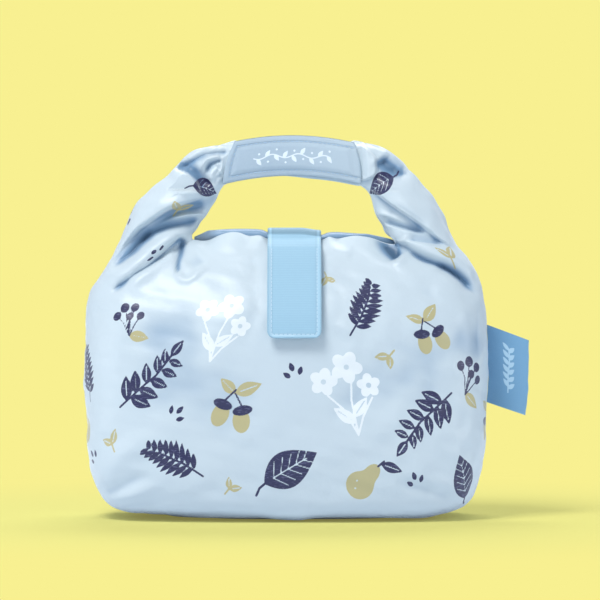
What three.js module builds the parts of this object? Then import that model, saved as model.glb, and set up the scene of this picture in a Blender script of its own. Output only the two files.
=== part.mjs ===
// Roll-top food bag with a gathered two-arm handle, in millimetres.
// X runs to the bag's right as seen from the front, Y to the back and Z up.
// The origin is the middle of the flat base, at the height of the surface it stands on.

import * as THREE from "three";

// Body of the bag
const leftHalfWidth = 118;
const rightHalfWidth = 112;
const halfDepth = 56;
const crestHeight = 158;
const baseCornerInset = 36;
const shoulderInset = 18;
const wall = 1.2;
const floorLift = 0.3;
const sectionExponent = 2.6;
const baseSectionExtra = 0.8;

// Mouth slot between the two lips
const mouthHalfLeft = 56;
const mouthHalfRight = 58;
const mouthHalfDepth = 9.5;
const rightCornerDrop = 5;
const shoulderOuterHeight = 127;

// Clearances
const gap = 0.3;
const seamGap = 0.3;

// Bound seam allowances inside the two side seams
const seamTapeWidth = 7.5;
const seamTapeThickness = 1.6;
const seamTapeFirstRow = 4;
const seamTapeLastRow = 14;

// Removable inner liner and its press studs
const linerWall = 0.8;
const linerSideInset = 12;
const linerDepthInset = 3.4;
const linerBottom = 1.9;
const linerTopDrop = 4;
const snapHeight = 97;
const snapSocketRadius = 5.5;
const snapStudRadius = 4.6;
const snapStudThickness = 0.9;

// Rolled mouth: one strip of fabric wound flat, lying on the lips
const rollFabric = 0.8;
const rollLayerGap = 0.3;
const rollFrontHalfTurn = 2.85;
const rollFront = -8.9;
const rollBack = 11.9;
const rollHalfLength = 46;

// Closure tab over the roll and down the front
const tabCentre = 2.5;
const tabWidth = 29;
const tabThickness = 1.2;
const tabBottomHeight = 103;
const tabCornerRadius = 6;
const patchThickness = 0.8;
const patchSideMargin = 2.6;
const patchTopHeight = 147;
const patchBottomMargin = 5;
const tabLean = 160;

// Grip band that joins the two arms
const gripLeftBottom = -39;
const gripLeftTop = -32;
const gripRightBottom = 40;
const gripRightTop = 36;
const gripCrownBottom = 194;
const gripHeight = 23;
const gripArch = 4.4;
const gripHingeX = -29;
const gripFrontFace = -8;
const gripPanelThickness = 2.4;
const gripPatchThickness = 1;
const gripBackFace = 7.2;
const gripPatchMargin = 2.6;
const gripPatchLeft = -12;

// Arms that rise from the shoulders to the grip
const outerRailLift = 88;
const outerRailLean = 23;
const outerRailRun = 15;
const outerRailDip = -14;
const innerRailLift = 27;
const innerRailLean = 28;
const innerRailRun = 28;
const innerRailDip = 71;
const armCut = 0.42;
const shoulderHalfDepth = 21;
const armRootHalfDepth = 14;
const armEndHalfDepth = 7.4;
const armTongueHalfDepth = 5.2;
const tongueInset = 1.6;
const armPivotStation = 0.3;

// Woven label in the right side seam
const labelTop = 110;
const labelHeight = 44;
const labelLength = 22.5;
const labelDroop = 8.5;
const labelThickness = 1;
const labelHingeOffset = 0.3;
const labelRootGap = 0.6;

// Mesh steps
const centreColumns = 8;
const levelColumns = 6;
const shoulderColumns = 9;
const panelRows = 15;
const linerRows = 10;
const shoulderRows = 5;
const armRows = 7;
const curveSteps = 14;
const rollArcSteps = 5;
const studSides = 20;

const lerp = (a, b, t) => a + (b - a) * t;
const clamp = (v, low, high) => Math.min(high, Math.max(low, v));
const smooth = (t) => {
  const c = clamp(t, 0, 1);
  return c * c * (3 - 2 * c);
};

// A smooth function through a few [place, value] pairs: cubic spans whose slope at a point
// is that of the line between its neighbours.
function curveThrough(pairs) {
  const slope = (i) => {
    const before = pairs[Math.max(0, i - 1)];
    const after = pairs[Math.min(pairs.length - 1, i + 1)];
    return (after[1] - before[1]) / (after[0] - before[0]);
  };
  return (place) => {
    const u = clamp(place, pairs[0][0], pairs[pairs.length - 1][0]);
    let i = 0;
    while (i < pairs.length - 2 && u > pairs[i + 1][0]) i += 1;
    const span = pairs[i + 1][0] - pairs[i][0];
    const t = (u - pairs[i][0]) / span;
    const start = pairs[i][1];
    const end = pairs[i + 1][1];
    const m0 = slope(i) * span;
    const m1 = slope(i + 1) * span;
    return (
      start * (2 * t ** 3 - 3 * t ** 2 + 1) +
      m0 * (t ** 3 - 2 * t ** 2 + t) +
      end * (3 * t ** 2 - 2 * t ** 3) +
      m1 * (t ** 3 - t ** 2)
    );
  };
}

// Outline of the bag, by share of the crest height
const cornerShare = curveThrough([
  [0, 1],
  [0.018, 0.68],
  [0.047, 0.41],
  [0.105, 0.22],
  [0.22, 0.08],
  [0.42, 0.02],
  [0.6, 0],
]);
const shoulderShare = curveThrough([
  [0.66, 0],
  [0.76, 0.09],
  [0.83, 0.22],
  [0.89, 0.46],
  [1, 1],
]);
const depthShare = curveThrough([
  [0, 0.57],
  [0.02, 0.7],
  [0.05, 0.83],
  [0.1, 0.91],
  [0.2, 0.98],
  [0.38, 1],
  [0.57, 0.98],
  [0.7, 0.9],
  [0.79, 0.75],
  [0.886, 0.5],
  [0.95, 0.26],
  [1, 0],
]);

const halfWidthAt = (z, right) =>
  (right ? rightHalfWidth : leftHalfWidth) -
  baseCornerInset * cornerShare(z / crestHeight) -
  shoulderInset * shoulderShare(z / crestHeight);
const halfDepthAt = (z) =>
  mouthHalfDepth + (halfDepth - mouthHalfDepth) * depthShare(z / crestHeight);

// The point of the bag's wall at height z: across is -1 at the left seam and 1 at the right,
// and side is -1 on the front and 1 on the back. The plan is a superellipse.
function wallPoint(across, side, z, widthInset = 0, depthInset = 0, lift = 0) {
  const exponent = sectionExponent + baseSectionExtra * (1 - smooth(z / crestHeight));
  const width = halfWidthAt(z, across > 0) - widthInset;
  const depth = halfDepthAt(z) - depthInset;
  const bulge = (1 - Math.min(1, Math.abs(across)) ** exponent) ** (1 / exponent);
  const raised = z + lift * (1 - smooth(z / (crestHeight * 0.1)));
  return new THREE.Vector3(across * width, side * depth * bulge, raised);
}

// Share of the wall's height at a row of its mesh: rows lie closer together near the base.
const rowShare = (row, rows) => (row / rows) ** 1.5;

// The share of the half width at which the mouth slot ends and the shoulder starts
const cornerAcross = (right) =>
  (right ? mouthHalfRight : mouthHalfLeft) / halfWidthAt(crestHeight, right);

// The lips run level as far as one of the panels' columns and then fall to the right corner.
const levelEnd = () => {
  const left = -cornerAcross(false);
  const across = lerp(left, cornerAcross(true), levelColumns / centreColumns);
  return across * halfWidthAt(crestHeight, true);
};
const lipDrop = (x) =>
  rightCornerDrop * clamp((x - levelEnd()) / (mouthHalfRight - levelEnd()), 0, 1);

// Height of the wall's top edge: level at the lips, then down along the shoulder crease.
function topEdge(across) {
  const right = across > 0;
  const corner = cornerAcross(right);
  const lip = crestHeight - lipDrop(across * halfWidthAt(crestHeight, right));
  if (Math.abs(across) <= corner) return lip;
  const along = (Math.abs(across) - corner) / (1 - corner);
  const cornerHeight = crestHeight - (right ? rightCornerDrop : 0);
  return lerp(cornerHeight, shoulderOuterHeight, along);
}

// Column places from the mouth's corner to the seam, closer together towards the seam
function shoulderPlaces(right) {
  const corner = cornerAcross(right);
  const sign = right ? 1 : -1;
  return Array.from({ length: shoulderColumns + 1 }, (_, i) => {
    const along = Math.sin((Math.PI / 2) * (i / shoulderColumns));
    return sign * lerp(corner, 1, along);
  });
}

// All column places from the left seam to the right one
function columnPlaces() {
  const left = shoulderPlaces(false).reverse();
  const right = shoulderPlaces(true);
  const middle = Array.from({ length: centreColumns - 1 }, (_, i) =>
    lerp(left[left.length - 1], right[0], (i + 1) / centreColumns),
  );
  return [...left, ...middle, ...right];
}

// A closed solid from triangles given as corner triples
function geometryOf(triangles) {
  const positions = new Float32Array(triangles.length * 9);
  triangles.forEach((corners, i) =>
    corners.forEach((p, k) => positions.set([p.x, p.y, p.z], i * 9 + k * 3)),
  );
  const made = new THREE.BufferGeometry();
  made.setAttribute("position", new THREE.BufferAttribute(positions, 3));
  made.computeVertexNormals();
  return made;
}

const quad = (a, b, c, d) => [
  [a, b, c],
  [a, c, d],
];

// Turns every face round if the solid came out inside out.
function facingOut(triangles) {
  const volume = triangles.reduce(
    (sum, [a, b, c]) => sum + a.dot(new THREE.Vector3().crossVectors(b, c)),
    0,
  );
  return geometryOf(volume < 0 ? triangles.map(([a, b, c]) => [a, c, b]) : triangles);
}

// A walled sheet: the quads of the outer grid, those of the inner grid turned round,
// and a strip along each of the four borders.
function sheetSolid(outer, inner) {
  const rows = outer.length;
  const columns = outer[0].length;
  const triangles = [];
  for (let i = 0; i < rows - 1; i += 1) {
    for (let j = 0; j < columns - 1; j += 1) {
      triangles.push(...quad(outer[i][j], outer[i][j + 1], outer[i + 1][j + 1], outer[i + 1][j]));
      triangles.push(...quad(inner[i][j], inner[i + 1][j], inner[i + 1][j + 1], inner[i][j + 1]));
    }
  }
  const rim = (grid) => [
    ...grid[0],
    ...grid.slice(1).map((row) => row[columns - 1]),
    ...grid[rows - 1].slice(0, -1).reverse(),
    ...grid.slice(1, -1).map((row) => row[0]).reverse(),
  ];
  const outerRim = rim(outer);
  const innerRim = rim(inner);
  outerRim.forEach((p, i) => {
    const k = (i + 1) % outerRim.length;
    triangles.push(...quad(outerRim[k], p, innerRim[i], innerRim[k]));
  });
  return facingOut(triangles);
}

const centreOf = (points) =>
  points.reduce((sum, p) => sum.add(p), new THREE.Vector3()).divideScalar(points.length);

// A solid through closed rings of equal count, with a fan over each end ring.
function loftSolid(rings) {
  const triangles = [];
  rings.slice(1).forEach((ring, i) => {
    const below = rings[i];
    ring.forEach((p, j) => {
      const k = (j + 1) % ring.length;
      triangles.push(...quad(below[j], below[k], ring[k], p));
    });
  });
  const first = rings[0];
  const last = rings[rings.length - 1];
  const bottom = centreOf(first);
  const top = centreOf(last);
  first.forEach((p, j) => triangles.push([bottom, first[(j + 1) % first.length], p]));
  last.forEach((p, j) => triangles.push([top, p, last[(j + 1) % last.length]]));
  return facingOut(triangles);
}

// Extrudes an outline drawn in (y, z) along X, from x = from to x = to.
function extrudeAcross(points, from, to, steps = 1) {
  const outline = new THREE.Shape(points.map(([y, z]) => new THREE.Vector2(y, z)));
  const made = new THREE.ExtrudeGeometry(outline, {
    depth: to - from,
    steps,
    bevelEnabled: false,
  });
  const axes = new THREE.Matrix4().makeBasis(
    new THREE.Vector3(0, 1, 0),
    new THREE.Vector3(0, 0, 1),
    new THREE.Vector3(1, 0, 0),
  );
  return made.applyMatrix4(axes).translate(from, 0, 0);
}

// Extrudes an outline drawn in (x, z) along Y, from the front face to the back face.
function extrudeDeep(points, front, back) {
  const outline = new THREE.Shape(points.map(([x, z]) => new THREE.Vector2(x, z)));
  const made = new THREE.ExtrudeGeometry(outline, {
    depth: back - front,
    bevelEnabled: false,
  });
  return made.rotateX(Math.PI / 2).translate(0, back, 0);
}

// The outline between a line of [y, z] points and the same line moved inwards by thickness
function ribbonOutline(line, thickness) {
  const inner = line.map(([y, z], i) => {
    const [y0, z0] = line[Math.max(0, i - 1)];
    const [y1, z1] = line[Math.min(line.length - 1, i + 1)];
    const length = Math.hypot(y1 - y0, z1 - z0);
    return [y + ((z1 - z0) / length) * thickness, z - ((y1 - y0) / length) * thickness];
  });
  return [...line, ...inner.reverse()];
}

// Front and back panels of the outer bag
function panelGeometry(side) {
  const places = columnPlaces();
  const grid = (inset, lift) =>
    Array.from({ length: panelRows + 1 }, (_, i) =>
      places.map((across) => {
        const z = topEdge(across) * rowShare(i, panelRows);
        const p = wallPoint(across, side, z, inset, inset, lift);
        const seam = side * (seamGap / 2);
        p.y = side > 0 ? Math.max(p.y, seam) : Math.min(p.y, seam);
        return p;
      }),
    );
  return sheetSolid(grid(0, floorLift), grid(wall, floorLift + wall));
}

// Flat bottom piece, sewn in between the lower edges of the two panels
function basePanelGeometry() {
  const ring = (inset, z) => {
    const places = columnPlaces();
    const front = places.map((across) => wallPoint(across, -1, 0, inset, inset));
    const back = places.slice(1, -1).reverse().map((across) => wallPoint(across, 1, 0, inset, inset));
    return [...front, ...back].map((p) => new THREE.Vector3(p.x, p.y, z));
  };
  return loftSolid([ring(gap, 0), ring(gap + wall, wall - 0.1)]);
}

// Bound seam allowance, standing inwards from a side seam
function seamTapeGeometry(right) {
  const sign = right ? 1 : -1;
  const inner = wall + gap;
  const grid = (y) =>
    Array.from({ length: seamTapeLastRow - seamTapeFirstRow + 1 }, (_, i) => {
      const z = shoulderOuterHeight * rowShare(seamTapeFirstRow + i, panelRows);
      const x = halfWidthAt(z, right) - inner;
      return [x, x - seamTapeWidth].map((w) => new THREE.Vector3(sign * w, y, z));
    });
  return sheetSolid(grid(-seamTapeThickness / 2), grid(seamTapeThickness / 2));
}

// Open-topped liner that hangs inside the bag
function linerGeometry() {
  const places = columnPlaces();
  const rings = (widthInset, depthInset, lift) =>
    Array.from({ length: linerRows + 1 }, (_, i) => {
      const at = (across, side) => {
        const z = (topEdge(across) - linerTopDrop) * rowShare(i, linerRows);
        return wallPoint(across, side, z, widthInset, depthInset, lift);
      };
      const front = places.map((across) => at(across, -1));
      const back = places.slice(1, -1).reverse().map((across) => at(across, 1));
      return [...front, ...back];
    });
  const outer = rings(linerSideInset, linerDepthInset, linerBottom);
  const inner = rings(
    linerSideInset + linerWall,
    linerDepthInset + linerWall,
    linerBottom + linerWall,
  );
  const triangles = [];
  const count = outer[0].length;
  for (let i = 0; i < linerRows; i += 1) {
    for (let j = 0; j < count; j += 1) {
      const k = (j + 1) % count;
      triangles.push(...quad(outer[i][j], outer[i][k], outer[i + 1][k], outer[i + 1][j]));
      triangles.push(...quad(inner[i][j], inner[i + 1][j], inner[i + 1][k], inner[i][k]));
    }
  }
  const below = centreOf(outer[0]);
  const floor = centreOf(inner[0]);
  for (let j = 0; j < count; j += 1) {
    const k = (j + 1) % count;
    triangles.push([below, outer[0][k], outer[0][j]]);
    triangles.push([floor, inner[0][j], inner[0][k]]);
    triangles.push(
      ...quad(outer[linerRows][j], outer[linerRows][k], inner[linerRows][k], inner[linerRows][j]),
    );
  }
  return facingOut(triangles);
}

// One half of a press stud between the seam tape and the liner, with its axis along X
function studGeometry(radius, thickness) {
  return new THREE.CylinderGeometry(radius, radius, thickness, studSides).rotateZ(Math.PI / 2);
}

// The two rails that bound an arm in the front view, from the shoulder to the grip.
// Each is a cubic with a handle at the shoulder (lift, lean) and one at the grip (run, dip).
function armRails(right) {
  const sign = right ? 1 : -1;
  const corner = sign * cornerAcross(right);
  const inner = wallPoint(corner, -1, topEdge(corner));
  const outer = wallPoint(sign, -1, shoulderOuterHeight);
  const [innerEndX, innerEndZ] = gripEdge(right ? gripRightBottom : gripLeftBottom, false);
  const [outerEndX, outerEndZ] = gripEdge(right ? gripRightTop : gripLeftTop, true);
  const rail = (start, lift, lean, endX, endZ, run, dip) => {
    const a = THREE.MathUtils.degToRad(lean);
    const b = THREE.MathUtils.degToRad(dip);
    const z = start.z + gap;
    const x = endX + sign * gap * 2;
    return new THREE.CubicBezierCurve3(
      new THREE.Vector3(start.x, 0, z),
      new THREE.Vector3(start.x - sign * lift * Math.sin(a), 0, z + lift * Math.cos(a)),
      new THREE.Vector3(x + sign * run * Math.cos(b), 0, endZ - run * Math.sin(b)),
      new THREE.Vector3(x, 0, endZ),
    );
  };
  return {
    inner: rail(
      inner,
      innerRailLift,
      innerRailLean,
      innerEndX,
      innerEndZ,
      innerRailRun,
      innerRailDip,
    ),
    outer: rail(
      outer,
      outerRailLift,
      outerRailLean,
      outerEndX,
      outerEndZ - gap,
      outerRailRun,
      outerRailDip,
    ),
  };
}

// Lower and upper edge of the grip band at x: two shallow parabolas
function gripEdge(x, upper) {
  const middle = (gripLeftBottom + gripRightBottom) / 2;
  const half = (gripRightBottom - gripLeftBottom) / 2;
  const crown = gripCrownBottom + (upper ? gripHeight : 0);
  return [x, crown - gripArch * ((x - middle) / half) ** 2];
}

const armHalfDepthAt = curveThrough([
  [0, shoulderHalfDepth],
  [0.25, (shoulderHalfDepth + armRootHalfDepth) / 2],
  [0.5, armRootHalfDepth],
  [0.78, (armRootHalfDepth + armEndHalfDepth) / 2],
  [1, armEndHalfDepth],
]);

// Angles round an arm: from the inner rail along the front to the outer rail and back
function armAngles(right) {
  const corner = cornerAcross(right);
  const front = shoulderPlaces(right).map((across) => {
    const along = (Math.abs(across) - corner) / (1 - corner);
    return Math.acos(clamp(1 - 2 * along, -1, 1));
  });
  const tuck = 0.12;
  const turned = front.map((angle, i) => (i === 0 ? tuck : angle));
  const back = turned.slice(0, -1).reverse().map((angle) => -angle);
  return [...turned, ...back];
}

// A ring of the arm at station t, as an ellipse between the two rails
function armRing(right, t) {
  const rails = armRails(right);
  const inner = rails.inner.getPointAt(t);
  const outer = rails.outer.getPointAt(t);
  const middle = inner.clone().lerp(outer, 0.5);
  const reach = inner.clone().sub(middle);
  const depth = armHalfDepthAt(t);
  return armAngles(right).map((angle) => {
    const p = middle.clone().addScaledVector(reach, Math.cos(angle));
    p.y = -depth * Math.sin(angle);
    return p;
  });
}

// The ring along the walls' top edges, on which the shoulder sits
function shoulderFootRing(right) {
  const places = shoulderPlaces(right);
  const at = (across, side) => {
    const p = wallPoint(across, side, topEdge(across));
    p.z += gap;
    return p;
  };
  const front = places.map((across) => at(across, -1));
  const back = places.slice(0, -1).reverse().map((across) => at(across, 1));
  return [...front, ...back];
}

// Gathered fabric between the body and an arm: from the foot ring to the arm's first ring
function shoulderGeometry(right) {
  const foot = shoulderFootRing(right);
  const rings = Array.from({ length: shoulderRows + 1 }, (_, i) => {
    const t = (i / shoulderRows) * armCut;
    const share = smooth(i / shoulderRows / 0.8);
    const ring = armRing(right, t);
    const shift = centreOf(armRing(right, t)).sub(centreOf(armRing(right, 0)));
    return ring.map((p, j) => foot[j].clone().add(shift).lerp(p, share));
  });
  return loftSolid(rings);
}

// An arm from its cut to the grip, ending in a flat tongue under the band on the left side
function armGeometry(right) {
  const first = armCut + 0.006;
  const rings = Array.from({ length: armRows + 1 }, (_, i) =>
    armRing(right, lerp(first, 1, i / armRows)),
  );
  if (!right) {
    const end = rings[rings.length - 1];
    const middle = centreOf(end);
    const squeeze = armTongueHalfDepth / armEndHalfDepth;
    const shrink = 1 - (2 * tongueInset) / gripHeight;
    const neck = end.map(
      (p) => new THREE.Vector3(p.x + gap, p.y * squeeze, lerp(middle.z, p.z, shrink)),
    );
    const tipX = gripHingeX - 2 * gap;
    const tipLow = gripEdge(tipX, false)[1] + tongueInset;
    const tipHigh = gripEdge(tipX, true)[1] - tongueInset;
    const tip = armAngles(right).map(
      (angle) =>
        new THREE.Vector3(
          tipX,
          -armTongueHalfDepth * Math.sin(angle),
          lerp(tipHigh, tipLow, (1 + Math.cos(angle)) / 2),
        ),
    );
    rings.push(neck, tip);
  }
  return loftSolid(rings);
}

// Outline of the grip band or of a patch on it, between given ends and inset from the edges
function bandOutline(leftBottom, leftTop, rightBottom, rightTop, inset) {
  const steps = curveSteps;
  const lower = Array.from({ length: steps + 1 }, (_, i) => {
    const [x, z] = gripEdge(lerp(leftBottom, rightBottom, i / steps), false);
    return [x, z + inset];
  });
  const upper = Array.from({ length: steps + 1 }, (_, i) => {
    const [x, z] = gripEdge(lerp(rightTop, leftTop, i / steps), true);
    return [x, z - inset];
  });
  return [...lower, ...upper];
}

// Levels of the grip, from the front face to the back face
const hookFront = gripFrontFace + gripPanelThickness + gap;
const hookBack = hookFront + gripPatchThickness;
const loopFront = hookBack + gap;
const loopBack = loopFront + gripPatchThickness;
const backPanelFront = loopBack + gap;

// Sewn end of the front band, on the left arm
const gripAnchorGeometry = () =>
  extrudeDeep(
    bandOutline(gripLeftBottom, gripLeftTop, gripHingeX - gap, gripHingeX - gap, 0),
    gripFrontFace,
    gripFrontFace + gripPanelThickness,
  );
// Front band that peels forward from the back one
const gripFrontPanelGeometry = () =>
  extrudeDeep(
    bandOutline(gripHingeX, gripHingeX, gripRightBottom, gripRightTop, 0),
    gripFrontFace,
    gripFrontFace + gripPanelThickness,
  );
const gripPatchOutline = () =>
  bandOutline(
    gripPatchLeft,
    gripPatchLeft,
    gripRightTop - gripPatchMargin,
    gripRightTop - gripPatchMargin,
    gripPatchMargin,
  );
const gripHookGeometry = () => extrudeDeep(gripPatchOutline(), hookFront, hookBack);
const gripLoopGeometry = () => extrudeDeep(gripPatchOutline(), loopFront, loopBack);

// Padded back band on the right arm
const gripBackPanelGeometry = () =>
  extrudeDeep(
    bandOutline(
      gripHingeX + 3 * gap,
      gripHingeX + 3 * gap,
      gripRightBottom - gap,
      gripRightTop - gap,
      gap,
    ),
    backPanelFront,
    gripBackFace,
  );

// Centre height of the roll and the line of its winding, drawn in (y, z)
const rollCentreHeight = crestHeight + gap + rollFabric / 2 + rollFrontHalfTurn;

// The winding: up over the front lip, back along the top, then round in ever tighter
// half turns whose radius falls by half a pitch each time.
function rollLine() {
  const pitch = rollFabric + rollLayerGap;
  const frontCentre = rollFront + rollFabric / 2 + rollFrontHalfTurn;
  const backCentre = rollBack - rollFabric / 2 - rollFrontHalfTurn;
  const arc = (y, z, radius, from, to) =>
    Array.from({ length: rollArcSteps + 1 }, (_, i) => {
      const angle = lerp(from, to, i / rollArcSteps);
      return [y + radius * Math.cos(angle), z + radius * Math.sin(angle)];
    });
  const r = (k) => rollFrontHalfTurn - (k * pitch) / 2;
  const c = rollCentreHeight;
  const low = c - pitch / 2;
  const half = Math.PI / 2;
  return [
    ...arc(frontCentre, c, r(0), Math.PI * 1.12, half),
    ...arc(backCentre, c, r(0), half, -half),
    ...arc(frontCentre + pitch / 2, low, r(1), -half, -Math.PI * 1.5),
    ...arc(backCentre - pitch / 2, c, r(2), half, -half),
    ...arc(frontCentre + pitch, low, r(3), -half, -Math.PI * 1.5),
    [lerp(frontCentre, backCentre, 0.6), low + r(3)],
  ];
}

function rolledMouthGeometry() {
  const half = rollFabric / 2;
  const line = rollLine();
  const offset = (distance) =>
    line.map(([y, z], i) => {
      const [y0, z0] = line[Math.max(0, i - 1)];
      const [y1, z1] = line[Math.min(line.length - 1, i + 1)];
      const length = Math.hypot(y1 - y0, z1 - z0);
      return [y - ((z1 - z0) / length) * distance, z + ((y1 - y0) / length) * distance];
    });
  const outline = [...offset(half), ...offset(-half).reverse()];
  const stations = [-rollHalfLength, levelEnd(), rollHalfLength];
  const steps = stations.length - 1;
  const made = extrudeAcross(outline, 0, steps, steps);
  const place = made.getAttribute("position");
  for (let i = 0; i < place.count; i += 1) {
    const x = stations[Math.round(place.getX(i))];
    place.setX(i, x);
    place.setZ(i, place.getZ(i) - lipDrop(x));
  }
  return made;
}

// Outer face of the roll's stadium-shaped section, from its front end over the top to the back
function overRoll(offset, from, to) {
  const radius = rollFrontHalfTurn + rollFabric / 2 + offset;
  const frontCentre = rollFront + rollFabric / 2 + rollFrontHalfTurn;
  const backCentre = rollBack - rollFabric / 2 - rollFrontHalfTurn;
  const at = (y, angle) => [
    y + radius * Math.cos(angle),
    rollCentreHeight + radius * Math.sin(angle),
  ];
  const half = Math.PI / 2;
  const front = Array.from({ length: rollArcSteps + 1 }, (_, i) =>
    at(frontCentre, lerp(from, half, i / rollArcSteps)),
  );
  const back = Array.from({ length: rollArcSteps + 1 }, (_, i) =>
    at(backCentre, lerp(half, to, i / rollArcSteps)),
  );
  return [...front, ...back];
}

const tabLeanAngle = THREE.MathUtils.degToRad(tabLean);
const tabHinge = overRoll(gap + tabThickness, tabLeanAngle, 0)[0];
const tabLeft = tabCentre - tabWidth / 2;
const tabRight = tabCentre + tabWidth / 2;

// Sewn part of the tab, over the roll
const tabAnchorGeometry = () =>
  extrudeAcross(
    ribbonOutline(overRoll(gap + tabThickness, tabLeanAngle, -0.5), tabThickness),
    tabLeft,
    tabRight,
  );

// A point in front of the front panel's middle, at height z and offset from its face
function inFront(z, offset) {
  const here = wallPoint(0, -1, z);
  const above = wallPoint(0, -1, z + 1);
  const below = wallPoint(0, -1, z - 1);
  const slope = Math.hypot(above.y - below.y, above.z - below.z);
  return [
    here.y - ((above.z - below.z) / slope) * offset,
    here.z + ((above.y - below.y) / slope) * offset,
  ];
}

// A line down the front at a given offset, between two heights
const frontLine = (high, low, offset) =>
  Array.from({ length: curveSteps + 1 }, (_, i) =>
    inFront(lerp(high, low, i / curveSteps), offset),
  );

const loopOffset = gap + patchThickness;
const hookOffset = loopOffset + gap + patchThickness;
const tabOffset = hookOffset + gap + tabThickness;
const patchLeft = tabLeft + patchSideMargin;
const patchRight = tabRight - patchSideMargin;
const patchBottomHeight = tabBottomHeight + patchBottomMargin;

// Free end of the tab, from its hinge over the crest to its tip with rounded corners
function closureTabGeometry() {
  const drop = [tabHinge[0], tabHinge[1] - 2 * gap];
  const over = [tabHinge[0] - 3.2, tabHinge[1] - 4.4];
  const line = [drop, over, ...frontLine(patchTopHeight + 3, tabBottomHeight, tabOffset)];
  const curve = new THREE.CatmullRomCurve3(
    line.map(([y, z]) => new THREE.Vector3(0, y, z)),
  );
  const length = curve.getLength();
  const rounding = [0, 0.08, 0.3, 0.62, 1].map((share) => share * tabCornerRadius);
  const straight = Array.from({ length: curveSteps }, (_, i) =>
    lerp(tabCornerRadius, length, (i + 1) / curveSteps),
  );
  const fromTip = [...rounding, ...straight];
  const halfWidth = (distance) => {
    const missing = Math.max(0, tabCornerRadius - distance);
    const kept = Math.sqrt(tabCornerRadius ** 2 - missing ** 2);
    return tabWidth / 2 - tabCornerRadius + kept;
  };
  const grid = (inset) =>
    fromTip.map((distance) => {
      const place = 1 - distance / length;
      const along = curve.getTangentAt(place);
      const p = curve.getPointAt(place);
      const out = new THREE.Vector3(0, along.z, -along.y).multiplyScalar(-inset);
      return [-1, -0.4, 0.4, 1].map((share) => {
        const x = tabCentre + share * halfWidth(distance);
        return new THREE.Vector3(x, p.y, p.z).add(out);
      });
    });
  return sheetSolid(grid(0), grid(tabThickness));
}

const patchGeometry = (offset) =>
  extrudeAcross(
    ribbonOutline(
      frontLine(patchTopHeight, patchBottomHeight, offset).reverse(),
      patchThickness,
    ).reverse(),
    patchLeft,
    patchRight,
  );

// Folded woven label, drooping a little outwards
function labelGeometry(rootX) {
  const outline = [
    [rootX, labelTop],
    [rootX, labelTop - labelHeight],
    [rootX + labelLength * 0.9, labelTop - labelHeight - labelDroop * 0.8],
    [rootX + labelLength, labelTop - labelDroop],
  ];
  return extrudeDeep(outline, -labelThickness / 2, labelThickness / 2);
}

// Finishes
const finish = (color, roughness) =>
  new THREE.MeshStandardMaterial({ color, roughness, metalness: 0 });
const printedFabric = finish(0xc6dcea, 0.5);
const tabWebbing = finish(0xa3d0ee, 0.8);
const gripCloth = finish(0xb2cbe0, 0.75);
const labelCloth = finish(0x6f9fc8, 0.7);
const hookTape = finish(0xb9d8ee, 0.9);
const linerFilm = finish(0xeef2f2, 0.35);
const studPlastic = finish(0xf2f4f4, 0.4);
const seamBinding = finish(0xdde8f0, 0.85);

// A group placed at a hinge, in its parent group's frame
function hingeGroup(parent, pivot) {
  const group = new THREE.Group();
  const above = parent.userData.pivot ?? new THREE.Vector3();
  group.userData.pivot = pivot;
  group.position.copy(pivot).sub(above);
  parent.add(group);
  return group;
}

// Adds a named piece whose geometry is drawn in the bag's own frame
function addPiece(group, name, geometry, material) {
  const pivot = group.userData.pivot ?? new THREE.Vector3();
  const mesh = new THREE.Mesh(geometry.translate(-pivot.x, -pivot.y, -pivot.z), material);
  mesh.name = name;
  group.add(mesh);
  return mesh;
}

// Press stud pairs sit between the inner edge of the seam tape and the liner's side
function addStuds(group, right) {
  const sign = right ? 1 : -1;
  const label = right ? "right" : "left";
  const width = halfWidthAt(snapHeight, right);
  const tapeEdge = width - wall - gap - seamTapeWidth;
  const linerSide = width - linerSideInset;
  const studOuter = linerSide + gap + snapStudThickness;
  const socketInner = studOuter + gap;
  const socketThickness = tapeEdge - gap - socketInner;
  const socket = studGeometry(snapSocketRadius, socketThickness);
  const stud = studGeometry(snapStudRadius, snapStudThickness);
  socket.translate(sign * (socketInner + socketThickness / 2), 0, snapHeight);
  stud.translate(sign * (linerSide + gap + snapStudThickness / 2), 0, snapHeight);
  addPiece(group, `snap_socket_${label}`, socket, studPlastic);
  addPiece(group, `snap_stud_${label}`, stud, studPlastic);
}

const bag = new THREE.Group();
addPiece(bag, "front_panel", panelGeometry(-1), printedFabric);
addPiece(bag, "back_panel", panelGeometry(1), printedFabric);
addPiece(bag, "base_panel", basePanelGeometry(), printedFabric);
addPiece(bag, "seam_tape_left", seamTapeGeometry(false), seamBinding);
addPiece(bag, "seam_tape_right", seamTapeGeometry(true), seamBinding);
addPiece(bag, "inner_liner", linerGeometry(), linerFilm);
addStuds(bag, false);
addStuds(bag, true);
addPiece(bag, "shoulder_left", shoulderGeometry(false), printedFabric);
addPiece(bag, "shoulder_right", shoulderGeometry(true), printedFabric);
addPiece(bag, "front_loop_patch", patchGeometry(loopOffset), hookTape);

const mouth = hingeGroup(bag, new THREE.Vector3(0, rollBack + 3 * gap, crestHeight + gap));
addPiece(mouth, "rolled_mouth", rolledMouthGeometry(), printedFabric);
addPiece(mouth, "tab_anchor", tabAnchorGeometry(), tabWebbing);

const tab = hingeGroup(mouth, new THREE.Vector3(tabCentre, tabHinge[0], tabHinge[1]));
addPiece(tab, "closure_tab", closureTabGeometry(), tabWebbing);
addPiece(tab, "tab_hook_patch", patchGeometry(hookOffset), hookTape);

// The arm turns about a line through the gathered shoulder, between its two rails.
function armPivot(right) {
  const rails = armRails(right);
  const inner = rails.inner.getPointAt(armPivotStation);
  return inner.lerp(rails.outer.getPointAt(armPivotStation), 0.5);
}

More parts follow.
